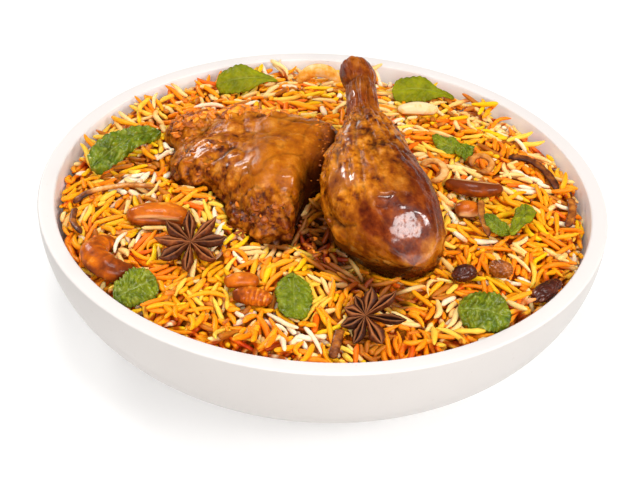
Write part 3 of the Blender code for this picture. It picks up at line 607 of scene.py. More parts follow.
def buildThigh(beside):
    bm = bmesh.new()
    for centre, radii, turns in thigh["lobes"]:
        turned = Matrix.Identity(4)
        for axis, degrees in zip("XYZ", turns):
            turned = Matrix.Rotation(math.radians(degrees), 4, axis) @ turned
        at = Matrix.Translation(centre) @ turned @ Matrix.Diagonal((*radii, 1.0))
        bmesh.ops.create_icosphere(bm, subdivisions=4, radius=1.0, matrix=at)
    mesh = bpy.data.meshes.new("thighLobes")
    bm.to_mesh(mesh)
    bm.free()
    made = placeMesh("thighLobes", mesh, skinFinish)
    remesh = made.modifiers.new("oneSkin", "REMESH")
    remesh.mode = "VOXEL"
    remesh.voxel_size = thigh["voxel"]
    smooth = made.modifiers.new("softJoins", "SMOOTH")
    smooth.factor = 0.6
    smooth.iterations = 4
    made.modifiers.new("finer", "SUBSURF").levels = thigh["finer"]
    graph = bpy.context.evaluated_depsgraph_get()
    skin = bpy.data.meshes.new_from_object(made.evaluated_get(graph))
    bpy.data.objects.remove(made, do_unlink=True)

    count = len(skin.vertices)
    points = np.zeros(count * 3, np.float32)
    normals = np.zeros(count * 3, np.float32)
    skin.vertices.foreach_get("co", points)
    skin.vertices.foreach_get("normal", normals)
    points, normals = points.reshape(-1, 3).astype(float), normals.reshape(-1, 3).astype(float)
    x, y, z = points.T * 1000
    ridge = smoothStep(20, 27, y) * smoothStep(-8, -22, x)  # the band along the back left
    left = smoothStep(-27, -36, x) * (1 - ridge)
    front = np.clip(smoothStep(-24, -33, y) + smoothStep(66, 61, z) * smoothStep(4, -6, y), 0, 1)
    smoothPart = np.clip(1 - left - ridge - front, 0, 1)
    wet = np.max([smoothStep(1.35, 0.55, np.hypot(x - a, y - b) / size) for a, b, size in thigh["wet"]], 0) * smoothStep(56, 60, z)
    rough = (0.30 + 0.65 * left + 1.1 * ridge + 1.3 * front) * (1 - 0.7 * wet)
    streaks = lumps(points * (0.45, 1.0, 1.0) + (0, 0.0006 * 3, 0), 0.0030, 7.7)  # fine wrinkles across the skin
    coarse = lumps(points, 0.0110, 1.9)
    knots = lumps(points, 0.0042, 4.4)
    drawn = points * (1.0, 0.8, 1.0)
    bold, small, tiny = creased(drawn, 0.0085, 5.2), creased(drawn, 0.0040, 8.1), creased(points, 0.0018, 6.1)
    grow = 1.0 * coarse + (0.35 + 0.9 * rough) * (bold - 0.5) + (0.08 + 0.60 * rough) * (small - 0.5)
    grow += (0.03 + 0.18 * rough) * (tiny - 0.5) + 0.10 * lumps(points, 0.0011, 9.3) * (1 - wet)
    grow += (0.30 * smoothPart + 0.35 * left + 0.30 * wet) * streaks
    shreds = np.abs(lumps(points * (1.0, 0.45, 0.8), 0.0055, 2.8))  # torn meat along the front
    grow += front * (5.2 * shreds - 1.4)
    parting = 21.0 - 0.10 * (x + 30) + 1.3 * np.sin(0.16 * x) + 1.6 * lumps(points * (1, 0, 0), 0.0060, 3.3)
    depth = np.clip(0.55 + 0.75 * lumps(points * (1, 0, 0), 0.0090, 5.3), 0, 1)  # it opens and closes along the way
    cleft = depth * hill((y - parting) / 1.5, 0, 1) * smoothStep(0, -14, x) * smoothStep(-60, -44, x)
    cuts = 1.3 * cleft * smoothStep(62, 66, z)
    socket = np.hypot(x + 44, y + 1)  # where a bone end shows through at the left
    grow += 0.9 * hill(socket, 0, 4.0) - 0.7 * hill(socket + 1.2 * knots, 5.4, 1.3) * smoothStep(-3, 3, x + 42)
    grow -= cuts
    gap = smoothStep(-13, -3, x) * smoothStep(-2, -16, y)  # it draws back from the drumstick towards the front
    grow -= 6.5 * gap
    grow += 1.1 * smoothStep(-27.5, -30, x + 1.5 * knots) * smoothStep(-40, -34, x) * (1 - ridge) * -1  # the skin's torn edge
    points = points + normals * grow[:, None] / 1000
    skin.vertices.foreach_set("co", points.astype(np.float32).ravel())
    skin.polygons.foreach_set("use_smooth", np.full(len(skin.polygons), True))
    # Painted shade in the deep tag: the folds, the cleft, the hole round the bone end, the lower parts, the end beside
    # the drumstick and the gap that draws back from it
    folds = 0.6 * smoothStep(0.16, 0.02, bold) * np.clip(0.25 + rough, 0, 1)
    folds += 0.45 * smoothStep(0.14, 0.02, small) * np.clip(rough - 0.2, 0, 1)
    deep = np.clip(cuts / 1.5 + folds + 0.5 * hill(socket + 1.2 * knots, 5.4, 1.4) * smoothStep(-3, 3, x + 42), 0, 1)
    deep = np.clip(deep + 0.7 * smoothStep(64, 56, z) * (0.4 + 0.6 * front) + 0.8 * smoothStep(4, 12, x) * smoothStep(70, 66, z) + 0.9 * gap, 0, 1)
    deep = np.clip(deep + 0.25 * smoothStep(-8, 4, x), 0, 1)
    # The end beside the drumstick is painted redder as part of its painted shade; the front, left and ridge shares are
    # the skin's own red-brown
    ruddy = np.clip(0.55 * front + 0.35 * left * smoothStep(70, 64, z) + 0.6 * smoothStep(-12, 2, x) + 0.2 * ridge, 0, 1)
    crust = np.clip(0.25 * left + 1.0 * ridge + 0.30 * front, 0, 1)
    besides = treeOf(beside)
    close = np.array([besides.find_nearest(Vector(p))[3] for p in points])
    deep = np.clip(deep + smoothStep(0.0045, 0.0012, close), 0, 1)  # painted shade where the two pieces touch
    for tag, values in (("deep", deep), ("ruddy", ruddy), ("crust", crust), ("calm", smoothPart), ("wet", 0.35 * wet)):
        layer = skin.attributes.new(tag, "FLOAT", "POINT")
        layer.data.foreach_set("value", values.astype(np.float32))
    made = placeMesh("thighRoasted", skin, skinFinish)
    return settlePiece(made, "chicken", "chicken_thigh")


chicken = [buildDrumstick()]
chicken += [buildThigh(chicken[0])]


# Star anise

anise = {
    "stars": (  # centre, arm length, how much longer on one side and which, first arm, tilt, lean, lift, how much darker
        ((-0.0492, -0.0500), 0.0142, 0.0006, 180, 4, 13, 0, 0.0034, 0.0),
        ((0.0178, -0.0850), 0.0118, 0.0042, -30, 20, 30, -20, 0.0042, 0.45),
    ),
    "arms": 8, "width": 0.0056, "height": 0.0050, "stations": 30,
    # one pod's section: across (half widths) and up (heights) from the keel, over a lip, into the slit and back
    "section": ((0.0, -0.95), (0.40, -0.62), (0.78, -0.18), (1.0, 0.22), (0.92, 0.56), (0.62, 0.86), (0.34, 1.0),
                (0.20, 0.94), (0.13, 0.62), (0.06, 0.34), (0.0, 0.28)),
}


def makeAniseFinish():
    finish = startFinish("aniseWood", 0.5, Specular_IOR_Level=0.18)
    grain = cloud(finish, 0.0022, 4.0, 0.6)
    fine = cloud(finish, 0.0006, 3.0)
    colour = ramp(finish, grain, ((0.30, (0.045, 0.010, 0.004)), (0.52, (0.175, 0.034, 0.006)), (0.74, (0.360, 0.095, 0.018))))
    # Each pod's own tone and the star's darker tone, with painted shade on the pods' undersides; then the paler lips;
    # then painted shade in the slits
    colour = blended(finish, tagged(finish, "shade"), colour, (0.030, 0.007, 0.003))
    colour = blended(finish, tagged(finish, "lip"), colour, (0.50, 0.165, 0.045))
    colour = blended(finish, tagged(finish, "deep"), colour, (0.020, 0.006, 0.005))
    drive(finish, "Base Color", colour)
    drive(finish, "Roughness", spread(finish, grain, 0.3, 0.7, 0.32, 0.6))
    relief(finish, (grain, 0.0007, 0.6), (fine, 0.0002, 0.6))
    return finish


def buildStar(number, star, finish):
    centre, radius, extra, towards, first, tilt, lean, lift, darker = star
    half, height = 0.5 * anise["width"], 0.5 * anise["height"]
    section = np.array(anise["section"])
    section = np.concatenate([section, section[-2:0:-1] * (-1, 1)])
    points, faces, lips, slitShades, shades = [], [], [], [], []
    t = np.linspace(0, 1, anise["stations"])
    wide = np.interp(t, (0, 0.10, 0.25, 0.45, 0.62, 0.80, 0.93, 1), (0.10, 0.26, 0.44, 0.78, 1.0, 0.72, 0.30, 0.05))
    tall = np.interp(t, (0, 0.15, 0.35, 0.62, 0.85, 1), (0.55, 0.80, 0.95, 1.0, 0.62, 0.12))
    rise = np.interp(t, (0, 0.5, 0.85, 1), (0.00, 0.02, 0.14, 0.42)) * anise["height"]
    gape = np.interp(t, (0, 0.2, 0.5, 0.75, 1), (0.35, 0.6, 1.0, 0.9, 0.3))
    for i in range(anise["arms"]):
        heading = math.radians(first) + i * 2 * math.pi / anise["arms"]
        length = (radius + extra * math.cos(heading - math.radians(towards))) * (1.0 + 0.09 * math.sin(5.0 * i + 3 * number))
        heading += 0.10 * math.sin(7.0 * i + number)
        plump = 1.0 + 0.16 * math.sin(3.7 * i + 2 * number)
        start = sum(len(p) for p in points)
        open_ = 0.55 + 0.6 * (0.5 + 0.5 * math.sin(2.7 * i + number))
        rings = []
        for s in range(len(t)):
            across = section[:, 0].copy()
            inner = np.abs(across) < 0.35
            across[inner] *= gape[s] * open_ * 1.6
            ring = np.stack([np.full(len(section), t[s] * length), across * wide[s] * half * plump,
                             section[:, 1] * tall[s] * height + rise[s] * (0.6 + 0.8 * plump)], -1)
            rings.append(ring)
        rings = np.array(rings)
        wrinkle = lumps(rings * (1.0, 0.5, 0.5) + (0, 0, 0.01 * i), 0.0016, 3.3 + number)
        rings[..., 1:] *= (1 + 0.16 * wrinkle)[..., None]
        turned = np.array(Matrix.Rotation(heading, 3, "Z"))
        around = len(section)
        points.append(rings.reshape(-1, 3) @ turned.T)
        tips = np.stack([rings[0].mean(0), rings[-1].mean(0)]) @ turned.T
        points.append(tips)
        faces.append(ringFaces(len(t), around, start))
        last = start + len(t) * around
        j = np.arange(around)
        k = (j + 1) % around
        end = start + (len(t) - 1) * around
        faces.append(np.stack([np.full(around, last), start + k, start + j], -1))
        faces.append(np.stack([np.full(around, last + 1), end + j, end + k], -1))
        up = np.broadcast_to(section[:, 1], (len(t), around))
        side = np.broadcast_to(np.abs(section[:, 0]), (len(t), around))
        lip = hill(side, 0.30, 0.16) * smoothStep(0.8, 1.0, up) * 0.8
        # Painted shade inside each pod's slit
        deep = (side < 0.16) * smoothStep(0.75, 0.3, up) * (up > 0) * 0.9
        # Each pod's random tone plus the star's darker tone; its underside is painted darker as shade
        shade = 0.75 * (0.5 + 0.5 * math.sin(2.3 * i + 1.9 * number)) * np.ones_like(lip)
        shades += [np.clip(shade + darker + 0.3 * smoothStep(0.3, -0.5, up), 0, 0.9).ravel(), np.zeros(2)]
        lips += [(lip * (1 - 0.6 * shade)).ravel(), np.zeros(2)]
        slitShades += [deep.ravel(), np.zeros(2)]
    points = np.concatenate(points)
    at = Matrix.Translation((*centre, riceHeight(*centre) + lift)) @ Matrix.Rotation(math.radians(lean), 4, "Y")
    at = at @ Matrix.Rotation(math.radians(tilt), 4, "X")
    points = points @ np.array(at.to_3x3()).T + np.array(at.translation)
    tags = {"lip": np.concatenate(lips), "deep": np.concatenate(slitShades), "shade": np.concatenate(shades)}
    made = makeObject("aniseStar%d" % number, points, faces, finish, tags)
    return settlePiece(made, "star_anise", "star_anise_%d" % number)


aniseFinish = makeAniseFinish()
stars = [buildStar(i + 1, star, aniseFinish) for i, star in enumerate(anise["stars"])]


# Cashews

cashews = {
    "nuts": (  # middle, length, thickness, heading, curl, lean, lift, colour (0 cream to 1 brown), place and width of its split
        ((-0.0640, -0.0310), 0.0240, 0.0116, 4, 50, -10, 0.0020, 0.48, (170, 6)),
        ((-0.0795, -0.0530), 0.0350, 0.0108, 120, 200, 12, 0.0020, 0.62, None),
        ((-0.0285, -0.0685), 0.0130, 0.0070, 5, 30, 10, 0.0022, 0.50, (-80, 6)),
        ((-0.0240, -0.0764), 0.0150, 0.0072, -8, 30, 10, 0.0022, 0.50, None),
        ((0.0390, 0.0600), 0.0175, 0.0072, 6, 40, 0, 0.0025, -0.08, (200, 7)),
        ((-0.0050, 0.0900), 0.0260, 0.0062, 2, 160, 84, 0.0030, 0.16, (200, 7)),
        ((0.0605, -0.0005), 0.0240, 0.0078, 174, 60, 5, 0.0028, 0.80, (105, 4)),
        ((0.0572, -0.0155), 0.0098, 0.0086, 10, 10, 0, 0.0020, 0.58, (188, 20)),
    ),
    "stations": 48, "around": 36,
}


def makeCashewFinish():  # fried in ghee: cream where pale, brown and shiny where it browned
    finish = startFinish("cashewFried", 0.32, Specular_IOR_Level=0.08, Coat_Weight=0.24, Coat_Roughness=0.12,
                         Subsurface_Weight=0.10, Subsurface_Scale=0.002)
    blotch = cloud(finish, 0.0045, 4.0, 0.6)
    fine = cloud(finish, 0.0009, 3.0)
    share = sums(finish, "ADD", tagged(finish, "tone"), spread(finish, blotch, 0.3, 0.7, -0.22, 0.22))
    colour = ramp(finish, share, ((0.0, (0.88, 0.66, 0.36)), (0.22, (0.86, 0.42, 0.055)), (0.42, (0.68, 0.16, 0.005)),
                                  (0.70, (0.42, 0.078, 0.004)), (1.0, (0.17, 0.028, 0.003))))
    colour = blended(finish, tagged(finish, "lip"), colour, (0.90, 0.56, 0.24))
    drive(finish, "Base Color", colour)
    drive(finish, "Roughness", spread(finish, blotch, 0.3, 0.7, 0.18, 0.38))
    relief(finish, (blotch, 0.0008, 0.4), (fine, 0.00015, 0.5))
    return finish


def buildCashew(number, nut, finish):
    centre, length, thickness, heading, curl, lean, lift, tone, split = nut
    count, around = cashews["stations"], cashews["around"]
    bend = math.radians(max(curl, 1))
    radius = length / bend
    t = 0.5 - 0.5 * np.cos(np.linspace(0.03, 1, count) * math.pi * 0.985)
    t, turn = np.meshgrid(t, np.linspace(0, 2 * math.pi, around, endpoint=False), indexing="ij")
    angle = bend * (t - 0.5)
    girth = 0.5 * thickness * (0.30 + 0.70 * np.sin(math.pi * (0.04 + 0.92 * t)) ** 0.6)
    girth *= np.sqrt(np.clip(1 - ((np.abs(t - 0.5) - 0.42) / 0.085).clip(0, 1) ** 2, 0.0, 1)) * 0.97 + 0.03
    uneven = lumps(np.stack([4 * t, np.cos(turn), np.sin(turn)], -1), 1.1, 2.0 + number)
    place, wide = split or (0, 7)
    beside = np.degrees((turn - math.radians(place) + math.pi) % (2 * math.pi) - math.pi) + 6 * np.sin(5 * t)
    beside = -beside if place > 150 else beside
    ends = smoothStep(0.04, 0.12, t) * smoothStep(0.97, 0.86, t) * (split is not None)
    groove, lip = hill(beside, -wide, 8) * ends, hill(beside, 3, wide) * ends
    below = smoothStep(2, -12, beside) * smoothStep(-120, -60, beside) * ends  # the half beyond the split is browner
    shrunk = creased(np.stack([15.0 * t, 0.7 * np.cos(turn), 0.7 * np.sin(turn)], -1), 0.9, 2.0 + number) * (split is None)
    girth = girth * (1 + 0.07 * uneven - 0.16 * groove + 0.03 * lip - 0.04 * below + 0.11 * shrunk)
    middle = np.stack([radius * np.sin(angle), radius * (np.cos(angle) - 1), 0 * angle], -1)
    outwards = np.stack([np.sin(angle), np.cos(angle), 0 * angle], -1)
    points = middle + outwards * (np.cos(turn) * girth)[..., None]
    points[..., 2] += 0.85 * np.sin(turn) * girth
    points = points - nutMiddle(length, thickness, curl)
    at = Matrix.Translation((*centre, riceHeight(*centre) + lift)) @ Matrix.Rotation(math.radians(heading), 4, "Z")
    at = at @ Matrix.Rotation(math.radians(lean), 4, "X")
    points = points @ np.array(at.to_3x3()).T + np.array(at.translation)
    under = smoothStep(0.2, -0.8, np.sin(turn))
    # Browner at the ends, underneath, past the split and towards one end of a whole nut; painted shade in the split's
    # groove, and painted shade and highlight across the wrinkles of a whole nut
    brownAndShade = tone + 0.25 * under + 0.2 * hill(t, 0, 0.1) + 0.2 * hill(t, 1, 0.1) + 0.35 * groove + 0.22 * below
    brownAndShade += 0.40 * (split is None) * smoothStep(0.45, 0.1, t) - 0.40 * (shrunk - 0.4) * (split is None)
    tags = {"tone": np.clip(brownAndShade, 0, 1), "lip": 0.85 * lip}
    made = tubeObject("cashewNut%d" % number, points, finish, tags)
    return settlePiece(made, "cashew", "cashew_%d" % number)


def nutMiddle(length, thickness, curl):  # the mean of the plain nut's points, which the part sets on its place
    bend = math.radians(max(curl, 1))
    radius = length / bend
    t = np.arange(8) / 7
    angle = bend * (t - 0.5)
    return np.array([0.0, np.mean(radius * (np.cos(angle) - 1)), 0.0])


cashewFinish = makeCashewFinish()
nuts = [buildCashew(i + 1, nut, cashewFinish) for i, nut in enumerate(cashews["nuts"])]


# Mint leaves

mint = {
    "leaves": (  # stem end, tip, width, roll, droop, tone (0 green to 1 olive), crinkle, notch at the stem, bow, widths along it
        ((-0.0700, 0.0290), (-0.0955, 0.0030), 0.0130, -34, 0.45, 0.20, 1.6, 0.0, -0.07, (0.60, 0.68, 0.78, 0.94, 0.90)),
        ((-0.0235, 0.0840), (-0.0510, 0.0790), 0.0135, -36, 0.30, 0.90, 0.5, 0.0, -0.06, (0.16, 0.52, 0.92, 1.00, 0.80)),
        ((0.0565, 0.0820), (0.0280, 0.0792), 0.0135, -30, 0.20, 0.95, 0.4, 0.0, -0.08, (0.20, 0.46, 0.88, 1.00, 0.84)),
        ((0.0562, 0.0282), (0.0445, 0.0345), 0.0098, -20, 0.20, 0.45, 0.9, 0.0, 0.10, (0.75, 1.00, 0.82, 0.60, 0.36)),
        ((0.0560, 0.0300), (0.0580, 0.0182), 0.0085, 15, 0.20, 0.35, 0.9, 0.0, 0.10, (0.60, 1.00, 0.86, 0.60, 0.34)),
        ((0.0735, -0.0318), (0.0625, -0.0280), 0.0072, -25, 0.10, 0.45, 1.0, 0.0, 0.08, (0.50, 0.84, 1.00, 0.86, 0.56)),
        ((0.0726, -0.0345), (0.0806, -0.0105), 0.0090, -15, 0.10, 0.80, 0.7, 0.0, -0.08, (0.46, 0.68, 0.86, 1.00, 0.78)),
        ((0.0513, -0.0745), (0.0713, -0.0740), 0.0158, 24, 0.20, 0.35, 1.8, 0.0, 0.00, (0.74, 0.95, 1.00, 0.96, 0.74)),
        ((-0.0095, -0.0670), (-0.0080, -0.0868), 0.0134, 0, 0.10, 0.55, 0.9, 1.0, 0.00, (0.86, 1.00, 1.00, 0.90, 0.66)),
        ((-0.0747, -0.0748), (-0.0602, -0.0675), 0.0152, 20, 0.15, 0.45, 1.7, 0.3, 0.00, (0.62, 0.86, 1.00, 1.00, 0.82)),
    ),
    "along": 64, "across": 37, "fold": 0.22, "thickness": 0.00035, "teeth": 11, "veins": 6.5,
}


def makeMintFinish():
    finish = startFinish("mintLeaf", 0.32, Specular_IOR_Level=0.05, Coat_Roughness=0.12,
                         Subsurface_Weight=0.08, Subsurface_Scale=0.0015)
    blotch = cloud(finish, 0.0045, 4.0)
    fine = cloud(finish, 0.0008, 3.0)
    blisters = cells(finish, 0.0013)
    green = ramp(finish, blotch, ((0.32, (0.024, 0.062, 0.003)), (0.50, (0.095, 0.160, 0.005)), (0.68, (0.235, 0.290, 0.010))))
    olive = ramp(finish, blotch, ((0.30, (0.150, 0.165, 0.002)), (0.70, (0.310, 0.310, 0.004))))
    colour = blended(finish, tagged(finish, "tone"), green, olive)
    # Pale veins, with painted highlight on the wrinkles' crests; then a darker margin, with painted shade in the
    # wrinkles' hollows
    colour = blended(finish, tagged(finish, "veinAndHighlight"), colour, (0.330, 0.370, 0.060))
    colour = blended(finish, tagged(finish, "edge"), colour, (0.024, 0.050, 0.003))
    drive(finish, "Base Color", colour)
    drive(finish, "Roughness", spread(finish, blotch, 0.3, 0.7, 0.24, 0.44))
    drive(finish, "Coat Weight", tagged(finish, "gloss"))
    relief(finish, (blotch, 0.0006, 0.3), (blisters, -0.0007, 0.5), (fine, 0.00018, 0.6))
    return finish


def leafWidths(shares, t):  # the outline's half width along a leaf, as a share of the widest
    stops = (-0.06, 0.0, 0.12, 0.3, 0.5, 0.7, 0.88, 1.0, 1.06)
    known = (0.0, 0.55 * shares[0], *shares, 0.6 * shares[-1], 0.0)
    return np.mean([np.interp(t + d, stops, known) for d in (-0.06, -0.03, 0.0, 0.03, 0.06)], 0)


def buildLeaf(number, leaf, finish):
    stem, tip, width, roll, droop, tone, crinkle, notch, bow, shares = leaf
    node = "mint_leaf_%02d" % number
    tree = treeOf(frame["nodes"][node])
    stem, tip = np.array(stem), np.array(tip)
    flat = np.linalg.norm(tip - stem)
    heights, found = [], []
    for t in (0.08, 0.2, 0.35, 0.5, 0.65, 0.8, 0.92):
        top = topOf(tree, *(stem + (tip - stem) * t))
        if top is not None:
            heights.append(top - droop * flat * (0.25 - (t - 0.5) ** 2))
            found.append(t)
    slope, low = np.polyfit(found, heights, 1)
    start, end = Vector((*stem, low)), Vector((*tip, low + slope))
    along = (end - start).normalized()
    side = Vector((0, 0, 1)).cross(along).normalized()
    side = Matrix.Rotation(math.radians(roll), 3, along) @ side
    up = along.cross(side).normalized()
    length = (end - start).length
    t, v = np.meshgrid(np.linspace(0, 1, mint["along"]), np.linspace(-1, 1, mint["across"]), indexing="ij")
    closed = np.sqrt(np.clip(t / 0.05, 0, 1)) * np.sqrt(np.clip((1 - t) / 0.06, 0, 1))
    half = 0.5 * width * leafWidths(shares, t) * (0.05 + 0.95 * closed)
    half = half * (1 + 0.10 * lumps(np.stack([3.5 * t, np.sign(v), 0 * t], -1), 1.0, 1.7 * number))
    teeth = (t * mint["teeth"] + 0.12 * np.sin(9 * t + number)) % 1.0
    half = half * (1.0 + 0.085 * smoothStep(0.55, 1.0, np.abs(v)) * (1 - 2.0 * np.abs(teeth - 0.35)))
    rib = (t * mint["veins"] - 1.5 * np.abs(v) + 0.12 * np.sin(7 * t + v + number)) % 1.0
    veins = np.maximum(hill(rib, 0, 0.085), hill(rib, 1, 0.085)) * smoothStep(1.0, 0.75, np.abs(v)) * smoothStep(0.0, 0.06, t)
    midrib = hill(v, 0, 0.055)
    spot = np.stack([t * length, v * half, np.full_like(t, 0.013 * number)], -1)
    puff = np.abs(np.sin(math.pi * rib)) * smoothStep(0.0, 0.18, np.abs(v)) * smoothStep(1.0, 0.8, np.abs(v))
    patch = 0.6 + 0.8 * np.clip(lumps(spot, 0.0070, 3.5) + 0.3, 0, 1)  # some parts are more puckered than others
    wrinkles = creased(spot, 0.0022, 5.5) - 0.3
    height = crinkle * patch * (0.00050 * puff + 0.00085 * wrinkles * smoothStep(0, 0.2, np.abs(v)))
    height += 0.0010 * crinkle * lumps(spot, 0.0065, 2.5) - 0.0003 * midrib
    height += 0.0007 * np.abs(v) ** 3 * np.sin(14 * t + 2.1 * np.sign(v) + number)  # wavy edges
    arch = droop * length * (0.25 - (t - 0.5) ** 2)
    fold = (mint["fold"] * np.abs(v) - 0.30 * v * v) * half
    back = notch * -0.10 * length * np.sin(math.pi * np.clip(np.abs(v) * 1.1, 0, 1)) * (1 - t) ** 3
    sideways = v * half + bow * length * (1 - (2 * t - 1) ** 2)
    points = np.array(start) + np.array(along) * (t * length + back)[..., None]
    points = points + np.array(side) * sideways[..., None] + np.array(up) * (arch + fold + height)[..., None]
    under = points - np.array(up) * mint["thickness"]
    rows, columns = t.shape
    i, j = np.meshgrid(np.arange(rows - 1), np.arange(columns - 1), indexing="ij")
    a = (i * columns + j).ravel()
    quads = np.stack([a, a + 1, a + columns + 1, a + columns], -1)
    rim = list(range(columns)) + [k * columns + columns - 1 for k in range(1, rows)]
    rim += [(rows - 1) * columns + k for k in range(columns - 2, -1, -1)] + [k * columns for k in range(rows - 2, 0, -1)]
    rim = np.array(rim)
    total = rows * columns
    walls = np.stack([np.roll(rim, -1), rim, rim + total, np.roll(rim, -1) + total], -1)
    faces = [quads, quads[:, ::-1] + total, walls]
    veinAndHighlight = np.maximum(0.55 * midrib * smoothStep(1.0, 0.7, t), 0.22 * veins)
    # Painted highlight: the wrinkles' crests are painted pale like the veins
    veinAndHighlight = np.maximum(veinAndHighlight, 0.5 * smoothStep(0.25, 0.55, wrinkles) * min(1.0, 0.6 * crinkle))
    # Darker at the margin; painted shade in the wrinkles' hollows
    edge = 0.5 * smoothStep(0.93, 1.0, np.abs(v)) + 0.45 * smoothStep(-0.18, -0.29, wrinkles) * min(1.0, 0.6 * crinkle)
    tags = {
        "tone": np.tile(np.clip(tone + 0.35 * lumps(spot, 0.008, 7.1), 0, 1).ravel(), 2), "veinAndHighlight": np.tile(veinAndHighlight.ravel(), 2),
        "edge": np.tile(edge.ravel(), 2), "gloss": np.full(2 * total, min(0.75, 0.45 * max(0.0, crinkle - 0.35))),
    }
    made = makeObject("mintSprigLeaf%d" % number, np.concatenate([points.reshape(-1, 3), under.reshape(-1, 3)]), faces, finish, tags)
    return settlePiece(made, "mint", node)


mintFinish = makeMintFinish()
leaves = [buildLeaf(i + 1, leaf, mintFinish) for i, leaf in enumerate(mint["leaves"])]


# Fried onion and raisins

onion = {
    "strands": (  # places it passes over, width, thickness, tone (0 orange to 1 nearly black), darker at its first end
        (((-0.1000, -0.0135), (-0.0930, -0.0075), (-0.0800, -0.0065), (-0.0680, -0.0100)), 0.0030, 0.0016, 0.16, 0.60),
        (((-0.0985, -0.0180), (-0.0980, -0.0270), (-0.0935, -0.0350)), 0.0026, 0.0015, 0.62, 0.0),
        (((0.0775, 0.0310), (0.0855, 0.0300), (0.0925, 0.0230), (0.0965, 0.0130)), 0.0036, 0.0018, 0.70, 0.0),
        (((0.1015, 0.0085), (0.1015, -0.0020), (0.0985, -0.0115)), 0.0034, 0.0017, 0.50, 0.0),
        (((0.0085, -0.0890), (0.0075, -0.0955), (0.0062, -0.1015)), 0.0036, 0.0018, 0.55, 0.0),
        (((0.0625, -0.0120), (0.0622, -0.0240), (0.0640, -0.0370)), 0.0028, 0.0015, 0.35, 0.0),
    ),
    "curls": (  # centre, radius, width, tilt, how far round it goes, tone
        ((0.0645, 0.0175), 0.0042, 0.0030, 18, 300, 0.30),
        ((0.0435, 0.0045), 0.0050, 0.0034, 20, 250, 0.05),
    ),
    "stations": 64, "around": 18,
}


def makeOnionFinish():
    finish = startFinish("onionFried", 0.35, Specular_IOR_Level=0.15, Coat_Weight=0.1, Coat_Roughness=0.15)
    streak = cloud(finish, 0.0030, 4.0, 0.6)
    fine = cloud(finish, 0.0007, 3.0)
    share = sums(finish, "ADD", tagged(finish, "tone"), spread(finish, streak, 0.3, 0.7, -0.25, 0.25))
    colour = ramp(finish, share, ((0.0, (0.78, 0.44, 0.15)), (0.25, (0.62, 0.22, 0.030)), (0.50, (0.34, 0.095, 0.013)),
                                  (0.75, (0.115, 0.026, 0.006)), (1.0, (0.030, 0.008, 0.004))))
    drive(finish, "Base Color", colour)
    drive(finish, "Roughness", spread(finish, streak, 0.3, 0.7, 0.22, 0.45))
    relief(finish, (streak, 0.0006, 0.5), (fine, 0.00015, 0.5))
    return finish


def smoothPath(places, count):
    places = np.array(places, float)
    padded = np.concatenate([places[:1], places, places[-1:]])
    path = []
    for t in np.linspace(0, len(places) - 1, count):
        k = min(int(t), len(places) - 2)
        u = t - k
        p0, p1, p2, p3 = padded[k:k + 4]
        m1, m2 = 0.5 * (p2 - p0), 0.5 * (p3 - p1)
        path.append((2 * u ** 3 - 3 * u ** 2 + 1) * p1 + (u ** 3 - 2 * u ** 2 + u) * m1
                    + (3 * u ** 2 - 2 * u ** 3) * p2 + (u ** 3 - u ** 2) * m2)
    return np.array(path)


def buildRibbon(name, path, width, thickness, tone, burnt, seed, finish):
    count, around = len(path), onion["around"]
    ahead = np.gradient(path, axis=0)
    ahead /= np.linalg.norm(ahead, axis=1)[:, None]
    side = np.cross(ahead, (0, 0, 1.0))
    side /= np.linalg.norm(side, axis=1)[:, None]
    up = np.cross(side, ahead)
    t, turn = np.meshgrid(np.linspace(0, 1, count), np.linspace(0, 2 * math.pi, around, endpoint=False), indexing="ij")
    spot = np.stack([t * 3, np.cos(turn), np.sin(turn)], -1)
    taper = 0.35 + 0.65 * np.clip(np.minimum(t, 1 - t) / 0.10, 0, 1) ** 0.6
    wide = 0.5 * width * taper * (1 + 0.16 * lumps(spot * (3.0, 0.2, 0.2), 1.0, seed))
    cup = 0.25 * np.cos(turn) ** 2  # the strip's edges curl up a little
    tall = 0.5 * thickness * taper * (1 + 0.25 * lumps(spot * (4.0, 1, 1), 0.8, seed + 3))
    points = path[:, None] + side[:, None] * (wide * np.cos(turn))[..., None]
    points = points + up[:, None] * (tall * (np.sin(turn) + cup))[..., None]
    edges = 0.25 * np.abs(np.cos(turn)) ** 3 + 0.2 * np.clip(1 - np.minimum(t, 1 - t) / 0.12, 0, 1)
    tags = {"tone": np.clip(tone + burnt * smoothStep(0.34, 0.16, t) + edges + 0.2 * lumps(spot * (2, 0.3, 0.3), 1.0, seed + 6), 0, 1)}
    return tubeObject(name, points, finish, tags)


def buildStrand(number, strand, finish):
    places, width, thickness, tone, burnt = strand
    node = "onion_strand_%d" % number
    tree = treeOf(frame["nodes"][node])
    flat = smoothPath(places, onion["stations"])
    found = [(i, topOf(tree, *p)) for i, p in enumerate(flat)]
    known = [(i, z) for i, z in found if z is not None]
    z = np.interp(np.arange(len(flat)), [k[0] for k in known], [k[1] for k in known]) - 0.5 * thickness
    made = buildRibbon("onionStrip%d" % number, np.column_stack([flat, z]), width, thickness, tone, burnt, number, finish)
    return settlePiece(made, "fried_onion", node)


def buildCurl(number, curl, finish):
    centre, radius, width, tilt, sweep, tone = curl
    node = "onion_curl_%d" % number
    angle = np.radians(-100 + sweep * np.linspace(0, 1, onion["stations"]))
    flat = np.stack([radius * np.cos(angle), radius * np.sin(angle), 0 * angle], -1)
    path = flat @ np.array(Matrix.Rotation(math.radians(tilt), 3, "X")).T + (*centre, 0)
    path[:, 2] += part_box(node)[0].z - path[:, 2].min() + 0.3 * width
    made = buildRibbon("onionRing%d" % number, path, width, 0.6 * width, tone, 0.0, 20 + number, finish)
    return settlePiece(made, "fried_onion", node)


